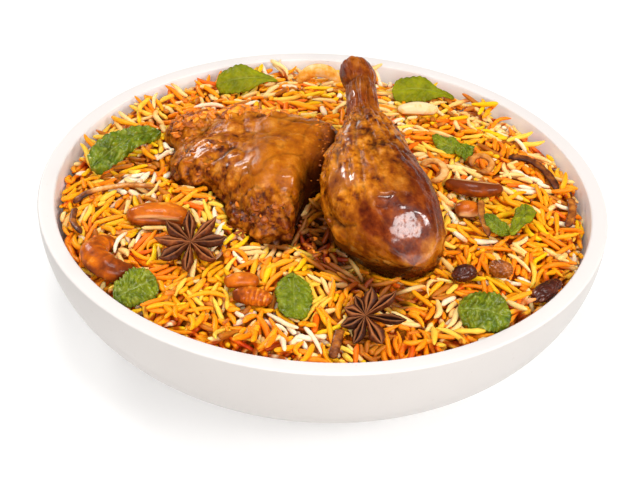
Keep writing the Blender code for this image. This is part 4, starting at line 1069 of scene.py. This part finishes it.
onionFinish = makeOnionFinish()
strips = [buildStrand(i + 1, strand, onionFinish) for i, strand in enumerate(onion["strands"])]
strips += [buildCurl(i + 1, curl, onionFinish) for i, curl in enumerate(onion["curls"])]

raisins = {
    "fruits": (  # centre, three radii, heading, how much paler it is
        ((0.0540, -0.0585), (0.0052, 0.0036, 0.0034), 20, 0.0),
        ((0.0680, -0.0540), (0.0048, 0.0036, 0.0034), -15, 0.8),
        ((0.0855, -0.0575), (0.0085, 0.0038, 0.0034), 48, 0.0),
    ),
    "around": 48, "stations": 40, "wrinkle": 0.16,
}


def makeRaisinFinish():
    finish = startFinish("raisinFried", 0.28, Specular_IOR_Level=0.2, Coat_Weight=0.5, Coat_Roughness=0.10)
    blotch = cloud(finish, 0.0030, 4.0, 0.6)
    fine = cloud(finish, 0.0006, 3.0)
    colour = ramp(finish, blotch, ((0.3, (0.030, 0.006, 0.003)), (0.55, (0.085, 0.013, 0.004)), (0.75, (0.230, 0.042, 0.008))))
    pale = ramp(finish, blotch, ((0.35, (0.220, 0.045, 0.004)), (0.60, (0.520, 0.150, 0.020))))
    drive(finish, "Base Color", blended(finish, tagged(finish, "tone"), colour, pale))
    drive(finish, "Roughness", spread(finish, blotch, 0.3, 0.7, 0.16, 0.36))
    relief(finish, (blotch, 0.0008, 0.5), (fine, 0.0002, 0.5))
    return finish


def buildRaisin(number, fruit, finish):
    centre, radii, heading, paler = fruit
    node = "raisin_%d" % number
    polar = np.linspace(0.03, 0.97, raisins["stations"]) * math.pi
    polar, turn = np.meshgrid(polar, np.linspace(0, 2 * math.pi, raisins["around"], endpoint=False), indexing="ij")
    ball = np.stack([-np.cos(polar), np.sin(polar) * np.cos(turn), np.sin(polar) * np.sin(turn)], -1)
    folds = np.abs(lumps(ball * (0.6, 1, 1), 0.42, number + 2.5))
    reach = 1.0 + 0.07 * lumps(ball, 0.8, number) - raisins["wrinkle"] * np.exp(-(folds / 0.16) ** 2)
    points = ball * reach[..., None] * radii
    points = points @ np.array(Matrix.Rotation(math.radians(heading), 3, "Z")).T
    low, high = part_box(node)
    points += np.array((*centre, 0.5 * (low.z + high.z)))
    made = tubeObject("raisinFruit%d" % number, points, finish, {"tone": np.full(polar.shape, paler)})
    return settlePiece(made, "raisin", node)


raisinFinish = makeRaisinFinish()
fruits = [buildRaisin(i + 1, fruit, raisinFinish) for i, fruit in enumerate(raisins["fruits"])]


# The rice: a core with grains laid on it one by one, each resting on what lies below

rice = {
    "coreDepth": 0.0042, "cell": 0.0005, "reach": 0.109, "seed": 11,
    "grainLength": (0.0095, 0.0150), "shortShare": 0.26, "grainWidth": (0.0018, 0.0025),
    "around": 7, "rings": 8, "most": 5200, "steepest": 0.95,
    "clumps": 460, "clumpSpread": (0.10, 1.0), "clumpShare": 0.5,  # neighbours that stuck together lie alike
    "kinds": {  # how common, albedo at tone 0 and at tone 1
        "riceWhite": (0.10, (0.95, 0.70, 0.42), (0.97, 0.84, 0.62)),
        "riceCream": (0.16, (0.96, 0.57, 0.16), (0.97, 0.70, 0.30)),
        "ricePale": (0.12, (0.96, 0.52, 0.035), (0.97, 0.64, 0.085)),
        "riceYellow": (0.07, (0.97, 0.49, 0.003), (0.98, 0.60, 0.005)),
        "riceSaffron": (0.26, (0.97, 0.33, 0.003), (0.98, 0.43, 0.006)),
        "riceOrange": (0.20, (0.95, 0.23, 0.002), (0.97, 0.31, 0.004)),
        "riceDeep": (0.04, (0.86, 0.130, 0.002), (0.92, 0.190, 0.003)),
        "riceBrown": (0.07, (0.40, 0.11, 0.006), (0.62, 0.21, 0.012)),
    },
    "pits": (  # hollows beside the chicken: place, reach across and along, heading, depth, in mm and degrees
        ((0, -34), (4.5, 15), -5, 9.0), ((9, -54), (10, 5), -28, 6.5), ((25, -66), (9, 4), -20, 5.0),
        ((-10, -44), (8, 5), 0, 3.0),
    ),
    "soakedAndShaded": (((0, -26), 7), ((-3, -38), 9), ((4, -52), 8), ((14, -62), 7), ((28, -70), 6), ((-16, -48), 5)),  # place and size in mm, dark with juices and with painted shade beside the chicken
    "leaning": 170, "leaningSlope": (0.02, 0.42),  # grains propped against the wall, whose ends show above the rest
    "topGrains": 60, "topLength": (0.0105, 0.0165), "topReach": 0.098,  # longer grains that lie on the rest
    "patches": (  # place and size in mm, and what is commoner there
        ((-75, 84), 14, {"ricePale": 5, "riceCream": 4, "riceWhite": 2}),
        ((-83, 62), 15, {"riceCream": 4, "ricePale": 3}),
        ((-87, -31), 7, {"riceYellow": 9, "riceWhite": 3}),
        ((-92, -8), 11, {"riceOrange": 3, "riceWhite": 2, "riceSaffron": 2}),
        ((-42, -37), 6, {"riceYellow": 8}),
        ((-33, -46), 6, {"riceYellow": 6}),
        ((-47, -21), 9, {"riceCream": 3, "ricePale": 3, "riceWhite": 2}),
        ((65, -10), 6, {"riceYellow": 9}),
        ((-49, -71), 13, {"riceYellow": 4, "riceSaffron": 5}),
        ((-42, -85), 11, {"riceSaffron": 4, "ricePale": 3, "riceCream": 2}),
        ((-20, -55), 11, {"ricePale": 3, "riceCream": 6}),
        ((3, -65), 12, {"ricePale": 4, "riceCream": 4, "riceYellow": 2}),
        ((-9, -90), 13, {"riceSaffron": 4, "riceOrange": 3}),
        ((24, -95), 12, {"riceBrown": 3, "riceDeep": 3, "riceOrange": 2}),
        ((86, -19), 13, {"riceYellow": 3, "riceSaffron": 6}),
        ((92, -43), 10, {"riceOrange": 5, "riceSaffron": 3}),
        ((68, -46), 9, {"riceSaffron": 3, "riceBrown": 2}),
        ((39, -80), 12, {"riceBrown": 3, "riceOrange": 3, "riceCream": 2}),
        ((67, 62), 16, {"ricePale": 3, "riceCream": 3, "riceYellow": 2}),
        ((-45, 78), 14, {"riceOrange": 5, "riceCream": 3}),
        ((-51, 52), 10, {"riceDeep": 4, "riceOrange": 4}),
        ((-20, 92), 13, {"riceOrange": 3, "riceCream": 3, "riceWhite": 2}),
        ((-70, -52), 8, {"riceDeep": 3, "riceOrange": 4}),
        ((80, 20), 12, {"riceOrange": 3, "riceCream": 3}),
        # These three, beside the chicken, are partly painted shade: brown grains where the gap lies in shadow
        ((0, -32), 9, {"riceBrown": 14, "riceDeep": 3}),
        ((12, -55), 9, {"riceBrown": 8, "riceCream": 2}),
        ((-12, -46), 6, {"riceBrown": 7}),
    ),
}
chance = np.random.default_rng(rice["seed"])


def makeRiceFinish(name, dull, bright):
    finish = startFinish(name, 0.40, Specular_IOR_Level=0.22, Subsurface_Weight=0.30, Subsurface_Scale=0.0018)
    wide = cloud(finish, 0.0075, 2.0)
    fine = cloud(finish, 0.0010, 3.0)
    share = sums(finish, "ADD", tagged(finish, "tone"), spread(finish, wide, 0.35, 0.65, -0.35, 0.35))
    colour = ramp(finish, share, ((0.0, dull), (1.0, bright)))
    colour = blended(finish, tagged(finish, "stain"), colour, (0.90, 0.26, 0.006))
    # Painted shade on the grains that lie lower in the heap
    colour = blended(finish, tagged(finish, "paintedGapShade"), colour, (0.58, 0.20, 0.030), "MULTIPLY")
    # Juices and painted shade darken the grains beside the chicken
    colour = blended(finish, tagged(finish, "soakedAndShaded"), colour, (0.22, 0.10, 0.030), "MULTIPLY")
    drive(finish, "Base Color", colour)
    drive(finish, "Roughness", spread(finish, fine, 0.3, 0.7, 0.32, 0.50))
    relief(finish, (fine, 0.00020, 0.6))
    return finish


def makeCoreFinish():
    finish = startFinish("riceBelow", 0.5, Specular_IOR_Level=0.3)
    wide = cloud(finish, 0.010, 3.0)
    fine = cloud(finish, 0.0022, 3.0, 0.6, (1, 0.5, 1))
    colour = ramp(finish, fine, ((0.30, (0.34, 0.085, 0.004)), (0.52, (0.78, 0.250, 0.008)), (0.72, (0.92, 0.440, 0.020))))
    dark = ramp(finish, wide, ((0.3, (0.70, 0.58, 0.50)), (0.7, (1.0, 1.0, 1.0))))
    colour = blended(finish, 0.8, colour, dark, "MULTIPLY")
    # Beside the chicken the core is nearly black, juice and painted shade
    drive(finish, "Base Color", blended(finish, tagged(finish, "soakedAndShaded"), colour, (0.060, 0.014, 0.003)))
    drive(finish, "Roughness", spread(finish, wide, 0.3, 0.7, 0.4, 0.6))
    relief(finish, (fine, 0.0015, 0.8))
    return finish


steps = int(2 * rice["reach"] / rice["cell"])
axis = (np.arange(steps) + 0.5) * rice["cell"] - rice["reach"]
gridX, gridY = np.meshgrid(axis, axis, indexing="ij")
gridR = np.hypot(gridX, gridY)


def mapHeights():  # how high the heap's top lies over each cell
    coarse = np.arange(0, steps + 7, 4)
    spots = -rice["reach"] + coarse * rice["cell"]
    field = np.array([[riceHeight(x, y) for y in spots] for x in spots])
    across = np.array([np.interp(axis, spots, row) for row in field])
    return np.array([np.interp(axis, spots, column) for column in across.T]).T


def mapPiece(made, fromAbove):  # the height of a piece over each cell, from above or from below; nan beside it
    found = np.full((steps, steps), np.nan)
    tree = treeOf(made)
    corners = np.array([v.co for v in made.data.vertices])
    low, high = corners.min(0), corners.max(0)
    start, way = (0.3, -1) if fromAbove else (-0.1, 1)
    for i in np.nonzero((axis > low[0]) & (axis < high[0]))[0]:
        for j in np.nonzero((axis > low[1]) & (axis < high[1]))[0]:
            hit = tree.ray_cast(Vector((axis[i], axis[j], start)), Vector((0, 0, way)))[0]
            if hit:
                found[i, j] = hit.z
    return found


heapTop = mapHeights()
ruffle = lumps(np.stack([gridX[::4, ::4], gridY[::4, ::4], 0 * gridX[::4, ::4]], -1), 0.0085, 71.0)
heapTop = heapTop - 0.0022 * np.kron(np.clip(0.5 * ruffle + 0.35, 0, 1), np.ones((4, 4)))[:steps, :steps]
for (x, y), (across, along), heading, depth in rice["pits"]:
    c, s = math.cos(math.radians(heading)), math.sin(math.radians(heading))
    u, v = gridX * 1000 - x, gridY * 1000 - y
    heapTop = heapTop - 0.001 * depth * np.exp(-((u * c + v * s) / across) ** 2 - ((v * c - u * s) / along) ** 2)
ceiling = np.full((steps, steps), 0.2)
laidTop = np.full((steps, steps), -1.0)
for piece in chicken + stars + nuts + leaves + strips + fruits:
    below = mapPiece(piece, False)
    ceiling = np.where(np.isnan(below), ceiling, np.minimum(ceiling, below))
    above = mapPiece(piece, True)
    laidTop = np.where(np.isnan(above), laidTop, np.maximum(laidTop, above))
for opening in frame["record"]["physics"]["openings"]:
    (x0, y0, z0), (x1, y1, _) = opening["box_m"]
    inside = (gridX > x0 - 0.001) & (gridX < x1 + 0.001) & (gridY > y0 - 0.001) & (gridY < y1 + 0.001)
    ceiling[inside] = np.minimum(ceiling[inside], z0 - 0.0004)
print("mapped the heap")


def grainProfile(t):  # share of full width along a grain, t from -1 to 1
    return np.clip(1 - np.abs(t) ** 3.6, 0, 1) ** 0.55


def kindShares():  # the chance of each kind over each cell
    names = list(rice["kinds"])
    spots = np.stack([gridX[::4, ::4], gridY[::4, ::4], np.zeros_like(gridX[::4, ::4])], -1)
    shares = {}
    for i, name in enumerate(names):
        drift = lumps(spots, 0.017, 31.0 + 7 * i) + 0.7 * lumps(spots, 0.0075, 53.0 + 5 * i)
        shares[name] = rice["kinds"][name][0] * np.exp(2.6 * drift)
    for (x, y), size, common in rice["patches"]:
        near = np.exp(-((spots[..., 0] * 1000 - x) ** 2 + (spots[..., 1] * 1000 - y) ** 2) / size ** 2)
        for name, times in common.items():
            shares[name] = shares[name] + rice["kinds"][name][0] * times * near
    table = np.stack([shares[name] for name in names], -1)
    return names, table / table.sum(-1, keepdims=True)


def clumpMap():  # which clump each patch of cells belongs to, and how each clump's grains lie
    count = rice["clumps"]
    reach = rice["reach"] * np.sqrt(chance.random(count))
    turn = chance.uniform(0, 2 * math.pi, count)
    seeds = np.stack([reach * np.cos(turn), reach * np.sin(turn)], -1)
    spots = np.stack([gridX[::4, ::4], gridY[::4, ::4]], -1)
    nearest = np.hypot(*(spots[:, :, None] - seeds).transpose(3, 0, 1, 2)).argmin(-1)
    return nearest, chance.uniform(0, math.pi, count), chance.uniform(*rice["clumpSpread"], count), seeds


def grainLine(x, y, heading, length, width, bend, stations, lanes):  # the cells under a grain, and its half widths
    along, across = np.linspace(-1, 1, stations), np.linspace(-1, 1, lanes + 2)[1:-1]
    dx, dy = math.cos(heading), math.sin(heading)
    t = 0.5 * length * along
    curve = bend * length * (along ** 2 - 0.33)
    half = 0.5 * width * grainProfile(along * 0.97)
    lineX, lineY = x + t * dx - dy * curve, y + t * dy + dx * curve
    spotX = lineX[:, None] - dy * across * half[:, None]
    spotY = lineY[:, None] + dx * across * half[:, None]
    a = ((spotX + rice["reach"]) / rice["cell"]).astype(int).clip(0, steps - 1)
    b = ((spotY + rice["reach"]) / rice["cell"]).astype(int).clip(0, steps - 1)
    return t, half, across, lineX, lineY, a, b


def coverGround(ground, x, y, z, heading, slope, length, width, bend):  # the ground rises by the laid grain
    t, half, across, _, _, a, b = grainLine(x, y, heading, length, width, bend, int(length / rice["cell"] * 1.6) + 3, 7)
    cover = (z + slope * t)[:, None] + half[:, None] * np.sqrt(1 - across ** 2) * 0.95
    np.maximum.at(ground, (a.ravel(), b.ravel()), cover.ravel())


def layGrains():
    ground = heapTop - rice["coreDepth"] - 0.0008
    blocked = ceiling < ground + 0.0010
    wanted = np.minimum(heapTop - 0.0004, ceiling - 0.0006)
    wall = radiusInside(heapTop)
    open_ = (~blocked) & (gridR < wall - 0.0012)
    drift = 0.8 * lumps(np.stack([gridX[::8, ::8], gridY[::8, ::8], 0 * gridX[::8, ::8]], -1), 0.030, 90.0)
    names, shares = kindShares()
    clumpOf, clumpHeading, clumpSpread, seeds = clumpMap()
    clumpKind = []
    for x, y in seeds:
        i, j = (int((v + rice["reach"]) / rice["cell"]) // 4 for v in (x, y))
        clumpKind.append(int(chance.choice(len(names), p=shares[min(i, len(shares) - 1), min(j, len(shares) - 1)])))
    grains, kinds, tries = [], [], 0
    while len(grains) < rice["most"] and tries < 40:
        tries += 1
        lack = np.where(open_, np.clip(wanted - ground, 0, None), 0)
        weight = (lack ** 1.5).ravel()
        if weight.sum() <= 0:
            break
        picks = chance.choice(weight.size, 1400, p=weight / weight.sum())
        for pick in picks:
            i, j = divmod(int(pick), steps)
            if wanted[i, j] - ground[i, j] < 0.0004:
                continue
            clump = clumpOf[i // 4, j // 4]
            x = axis[i] + chance.uniform(-0.5, 0.5) * rice["cell"]
            y = axis[j] + chance.uniform(-0.5, 0.5) * rice["cell"]
            short = chance.random() < rice["shortShare"]
            length = chance.uniform(*rice["grainLength"]) * (chance.uniform(0.35, 0.7) if short else 1.0)
            width = chance.uniform(*rice["grainWidth"])
            heading = clumpHeading[clump] + math.pi * drift[i // 8, j // 8] + chance.normal(0, clumpSpread[clump])
            bend = chance.normal(0, 0.15 if chance.random() < 0.3 else 0.075)
            t, half, across, lineX, lineY, a, b = grainLine(x, y, heading, length, width, bend, 9, 3)
            if blocked[a, b].any():
                continue
            need = ground[a, b] + (half[:, None] * np.sqrt(1 - across ** 2)) * 0.82
            rest = need.max(1)
            lean = 0.28 if short else 0.10  # short bits often stand on end between the others
            slope = np.polyfit(t, rest, 1)[0] + chance.normal(0, lean)
            if abs(slope) > rice["steepest"]:
                continue
            line = slope * t
            low = np.sort(rest - line)[-2 if abs(slope) < 0.3 else -4]
            z = low + line
            top = z + half
            room = np.minimum(ceiling[a, b].min(1) - 0.0003, heapTop[a[:, 1], b[:, 1]] + 0.0022)
            if (top > room).any() or (np.hypot(lineX, lineY) + half > radiusInside(z) - 0.0003).any():
                continue
            grains.append((x, y, low, heading, slope, length, width, bend))
            coverGround(ground, x, y, low, heading, slope, length, width, bend)
            alike = chance.random() < rice["clumpShare"]
            kinds.append(names[clumpKind[clump] if alike else int(chance.choice(len(names), p=shares[i // 4, j // 4]))])
    for k in range(rice["leaning"]):
        turn = chance.uniform(0, 2 * math.pi)
        length, width = chance.uniform(*rice["grainLength"]), chance.uniform(*rice["grainWidth"])
        slope = chance.uniform(*rice["leaningSlope"])
        away = radiusInside(0.052) - 0.5 * length - chance.uniform(0.0005, 0.0040)
        x, y, heading = away * math.cos(turn), away * math.sin(turn), turn + chance.normal(0, 0.95)
        bend = chance.normal(0, 0.10)
        t, half, across, lineX, lineY, a, b = grainLine(x, y, heading, length, width, bend, 9, 3)
        need = (ground[a, b] + (half[:, None] * np.sqrt(1 - across ** 2)) * 0.7).max(1) - slope * t
        low = np.sort(need)[-4]
        z = low + slope * t
        tall = (z + half > bowl["height"] + 0.004).any() or (z + half > ceiling[a, b].min(1) - 0.0003).any()
        if tall or (np.hypot(lineX, lineY) + half > radiusInside(z) - 0.0003).any():
            continue
        grains.append((x, y, low, heading, slope, length, width, bend))
        coverGround(ground, x, y, low, heading, slope, length, width, bend)
        i, j = int((x + rice["reach"]) / rice["cell"]) // 4, int((y + rice["reach"]) / rice["cell"]) // 4
        kinds.append(names[int(chance.choice(len(names), p=shares[i, j]))])
    for k in range(rice["topGrains"]):
        away, turn = rice["topReach"] * math.sqrt(chance.random()), chance.uniform(0, 2 * math.pi)
        x, y = away * math.cos(turn), away * math.sin(turn)
        length, width = chance.uniform(*rice["topLength"]), chance.uniform(*rice["grainWidth"])
        i, j = int((x + rice["reach"]) / rice["cell"]) // 4, int((y + rice["reach"]) / rice["cell"]) // 4
        heading, bend = clumpHeading[clumpOf[i, j]] + chance.normal(0, 0.7), chance.normal(0, 0.08)
        kind = names[int(chance.choice(len(names), p=shares[i, j]))]
        t, half, across, lineX, lineY, a, b = grainLine(x, y, heading, length, width, bend, 9, 3)
        if blocked[a, b].any():
            continue
        rest = (ground[a, b] + (half[:, None] * np.sqrt(1 - across ** 2)) * 0.6).max(1)
        slope = float(np.clip(np.polyfit(t, rest, 1)[0], -0.5, 0.5))
        low = np.sort(rest - slope * t)[-4]
        top = low + slope * t + half
        if (top > ceiling[a, b].min(1)).any() or (np.hypot(lineX, lineY) + half > radiusInside(top) - 0.0003).any():
            continue
        grains.append((x, y, low, heading, slope, length, width, bend))
        coverGround(ground, x, y, low, heading, slope, length, width, bend)
        kinds.append(kind)
    print("laid", len(grains), "grains in", tries, "rounds; mean lack in mm",
          round(float(1000 * np.clip(wanted - ground, 0, None)[open_].mean()), 2))
    return grains, kinds, ground


def grainPoints(grains):  # every grain's rings of points, and its two tips
    g = np.array(grains, float)
    x, y, z, heading, slope, length, width, bend = g[:, :8].T
    t = np.cos(np.linspace(math.pi, 0, rice["rings"] + 2))[1:-1]
    ends = np.concatenate([[-1], t, [1]])
    dx, dy = np.cos(heading), np.sin(heading)
    curve = bend[:, None] * length[:, None] * (ends ** 2 - 0.33)
    sag = chance.normal(0, 0.018, len(g))[:, None] * length[:, None] * (ends ** 2 - 0.33)
    wave = chance.normal(0, 0.020, (2, len(g)))[..., None] * length[:, None] * np.sin(math.pi * ends)
    curve, sag = curve + wave[0], sag + 0.5 * wave[1]
    run = 0.5 * length[:, None] * ends
    cx = x[:, None] + run * dx[:, None] - dy[:, None] * curve
    cy = y[:, None] + run * dy[:, None] + dx[:, None] * curve
    cz = z[:, None] + slope[:, None] * run + sag
    half = 0.5 * width[:, None] * grainProfile(t * 0.985) * (1 + 0.10 * chance.normal(0, 1, (len(g), len(t))).clip(-1.5, 1.5))
    half *= 1 + chance.normal(0, 0.14, len(g)).clip(-0.3, 0.3)[:, None] * t  # one end is often the finer
    turn = np.linspace(0, 2 * math.pi, rice["around"], endpoint=False) + chance.uniform(0, 2, len(g))[:, None]
    tilt = 1 / np.sqrt(1 + slope ** 2)
    side = np.stack([-dy, dx, 0 * dx], -1)
    up = np.stack([-slope * dx, -slope * dy, np.ones_like(dx)], -1) * tilt[:, None]
    centre = np.stack([cx, cy, cz], -1)
    flat = 0.90
    ring = side[:, None, None] * (half[:, :, None] * np.cos(turn)[:, None])[..., None]
    ring = ring + up[:, None, None] * (half[:, :, None] * flat * np.sin(turn)[:, None])[..., None]
    rings = centre[:, 1:-1, None] + ring
    tips = centre[:, (0, -1)]
    return np.concatenate([rings.reshape(len(g), -1, 3), tips], 1)


def grainFaces(count):
    rings, around = rice["rings"], rice["around"]
    each = rings * around + 2
    quads = ringFaces(rings, around)
    ends = np.concatenate([capFaces(around, 0, rings * around, True), capFaces(around, rings - 1, rings * around + 1, False)])
    shift = np.arange(count) * each
    return [(quads[None] + shift[:, None, None]).reshape(-1, 4), (ends[None] + shift[:, None, None]).reshape(-1, 3)]


def soakedAndShadedShare(points):
    share = 0.0
    for (x, y), size in rice["soakedAndShaded"]:
        away = np.hypot(points[..., 0] * 1000 - x, points[..., 1] * 1000 - y)
        share = np.maximum(share, smoothStep(1.5 * size, 0.7 * size, away))
    return share


def buildCore():
    finish = makeCoreFinish()
    rings = []
    angle = np.linspace(0, 2 * math.pi, 160, endpoint=False)
    for share in np.concatenate([np.linspace(0.004, 0.97, 70)]):
        x, y = share * 0.1062 * np.cos(angle), share * 0.1062 * np.sin(angle)
        a = ((x + rice["reach"]) / rice["cell"]).astype(int)
        b = ((y + rice["reach"]) / rice["cell"]).astype(int)
        z = heapTop[a, b] - rice["coreDepth"] - 0.0007
        relieved = np.stack([x, y, z], -1)
        z = z + 0.0008 * lumps(relieved, 0.0035, 61.0)
        low = np.minimum(z, ceiling[a, b] - 0.0004)
        z = np.where(low < 0.030, z, np.minimum(z, np.maximum(low, z - 0.02)))
        rings.append(np.stack([x, y, z], -1))
    edge = rings[-1][:, 2]
    for drop in (0.0, 0.25, 0.5, 0.75, 1.0):
        z = edge * (1 - drop) + (bowl["floorHeight"] + 0.0006) * drop
        radius = radiusInside(z) - 0.0008 - 0.0025 * (drop == 0)
        rings.append(np.stack([radius * np.cos(angle), radius * np.sin(angle), z], -1))
    rings.append(np.stack([0.03 * np.cos(angle), 0.03 * np.sin(angle), np.full_like(angle, bowl["floorHeight"] + 0.0006)], -1))
    made = tubeObject("riceCore", rings[::-1], finish, {"soakedAndShaded": soakedAndShadedShare(np.array(rings[::-1]))})
    return settlePiece(made, "rice", "rice_heap")


def buildGrains():
    grains, kinds, ground = layGrains()
    each = rice["rings"] * rice["around"] + 2
    for name, (_, dull, bright) in rice["kinds"].items():
        own = [g for g, k in zip(grains, kinds) if k == name]
        if not own:
            continue
        points = grainPoints(own)
        tone = np.repeat(chance.uniform(0.1, 0.9, len(own)), each)
        ends = np.concatenate([np.repeat(np.linspace(-1, 1, rice["rings"]), rice["around"]), [-1, 1]])
        way = np.where(chance.random(len(own)) < 0.5, 1, -1)[:, None]
        much = np.where(chance.random(len(own)) < 0.40, chance.uniform(0.2, 0.9, len(own)), 0)[:, None]
        stain = (smoothStep(0.2, 1.0, ends * way) * much).ravel()
        points = points.reshape(-1, 3)
        a, b = (((points[:, k] + rice["reach"]) / rice["cell"]).astype(int).clip(0, steps - 1) for k in (0, 1))
        paintedGapShade = smoothStep(0.0008, 0.0034, ground[a, b] - points[:, 2])  # painted shade: grains lying lower in the heap are darkened
        made = makeObject(name, points, grainFaces(len(own)), makeRiceFinish(name, dull, bright),
                          {"tone": tone, "stain": stain, "paintedGapShade": paintedGapShade, "soakedAndShaded": soakedAndShadedShare(points)})
        settlePiece(made, "rice", "rice_heap")
    return ground


crumbs = {
    "fields": (  # name, tone (0 orange to 1 dark brown), count, least and most size in mm, and where: x, y, reach x, reach y in mm
        ("ridge", 0.30, 130, 2.0, 5.0, (-36, 31, 27, 6)), ("ridgeLeft", 0.45, 50, 1.6, 4.0, (-58, 26, 8, 8)),
        ("thighLeft", 0.60, 50, 0.8, 2.6, (-50, 4, 12, 12)), ("thighFront", 0.80, 50, 1.2, 3.4, (-26, -38, 12, 6)),
        ("flank", 0.55, 60, 0.6, 1.6, (0, 2, 6, 26)), ("neck", 0.62, 24, 0.6, 1.4, (10, 18, 6, 8)),
        ("flap", 0.60, 14, 2.0, 4.2, (-2, -44, 4, 4)),
        ("scattered", 0.50, 130, 1.4, 3.6, (0, -5, 95, 95)),
    ),
}


def makeCrumbFinish():
    finish = startFinish("masalaCrumbs", 0.42, Specular_IOR_Level=0.3, Coat_Weight=0.1, Coat_Roughness=0.15)
    blotch = cloud(finish, 0.0022, 3.0)
    fine = cloud(finish, 0.0006, 3.0)
    share = sums(finish, "ADD", tagged(finish, "tone"), spread(finish, blotch, 0.3, 0.7, -0.18, 0.18))
    colour = ramp(finish, share, ((0.0, (0.95, 0.40, 0.020)), (0.30, (0.88, 0.23, 0.006)), (0.55, (0.50, 0.120, 0.005)),
                                  (0.80, (0.22, 0.040, 0.003)), (1.0, (0.060, 0.010, 0.002))))
    drive(finish, "Base Color", colour)
    drive(finish, "Roughness", spread(finish, blotch, 0.3, 0.7, 0.30, 0.55))
    relief(finish, (blotch, 0.0006, 0.5), (fine, 0.0002, 0.6))
    return finish


def scatterCrumbs(grounds):  # bits of spice paste and torn meat that cling where they fell
    bm = bmesh.new()
    bmesh.ops.create_icosphere(bm, subdivisions=2, radius=1.0)
    ball = np.array([v.co for v in bm.verts])
    sides = np.array([[v.index for v in f.verts] for f in bm.faces])
    bm.free()
    trees = [treeOf(g) for g in grounds]
    points, faces, tones = [], [], []
    for name, tone, count, least, most, (x, y, reachX, reachY) in crumbs["fields"]:
        for k in range(count):
            px = (x + chance.normal(0, 0.5) * reachX) / 1000
            py = (y + chance.normal(0, 0.5) * reachY) / 1000
            if math.hypot(px, py) > 0.100:
                continue
            tops = [z for z in (topOf(tree, px, py) for tree in trees) if z is not None]
            a, b = int((px + rice["reach"]) / rice["cell"]), int((py + rice["reach"]) / rice["cell"])
            if name == "scattered" and (tops or laidTop[a, b] > 0):
                continue
            z = max(tops) if tops else float(riceTop[a, b])
            size = 0.0005 * chance.uniform(least, most)
            shape = size * np.array((chance.uniform(0.9, 1.7), chance.uniform(0.5, 0.9), chance.uniform(0.25, 0.45)))
            knots = 1 + 0.55 * lumps(ball * 0.9 + chance.uniform(0, 90), 0.75, 0.0)
            turned = np.array(Matrix.Rotation(chance.uniform(0, 6.28), 3, "Z") @ Matrix.Rotation(chance.normal(0, 0.5), 3, "X"))
            own = (ball * knots[:, None] * shape) @ turned.T + (px, py, z - 0.05 * size)
            faces.append(sides + sum(len(q) for q in points))
            points.append(own)
            tones.append(np.full(len(ball), np.clip(tone + chance.normal(0, 0.16), 0, 1)))
    made = makeObject("masalaCrumbs", np.concatenate(points), [np.concatenate(faces)], makeCrumbFinish(), {"tone": np.concatenate(tones)})
    settlePiece(made, "chicken")


buildCore()
riceTop = buildGrains()
scatterCrumbs(chicken)
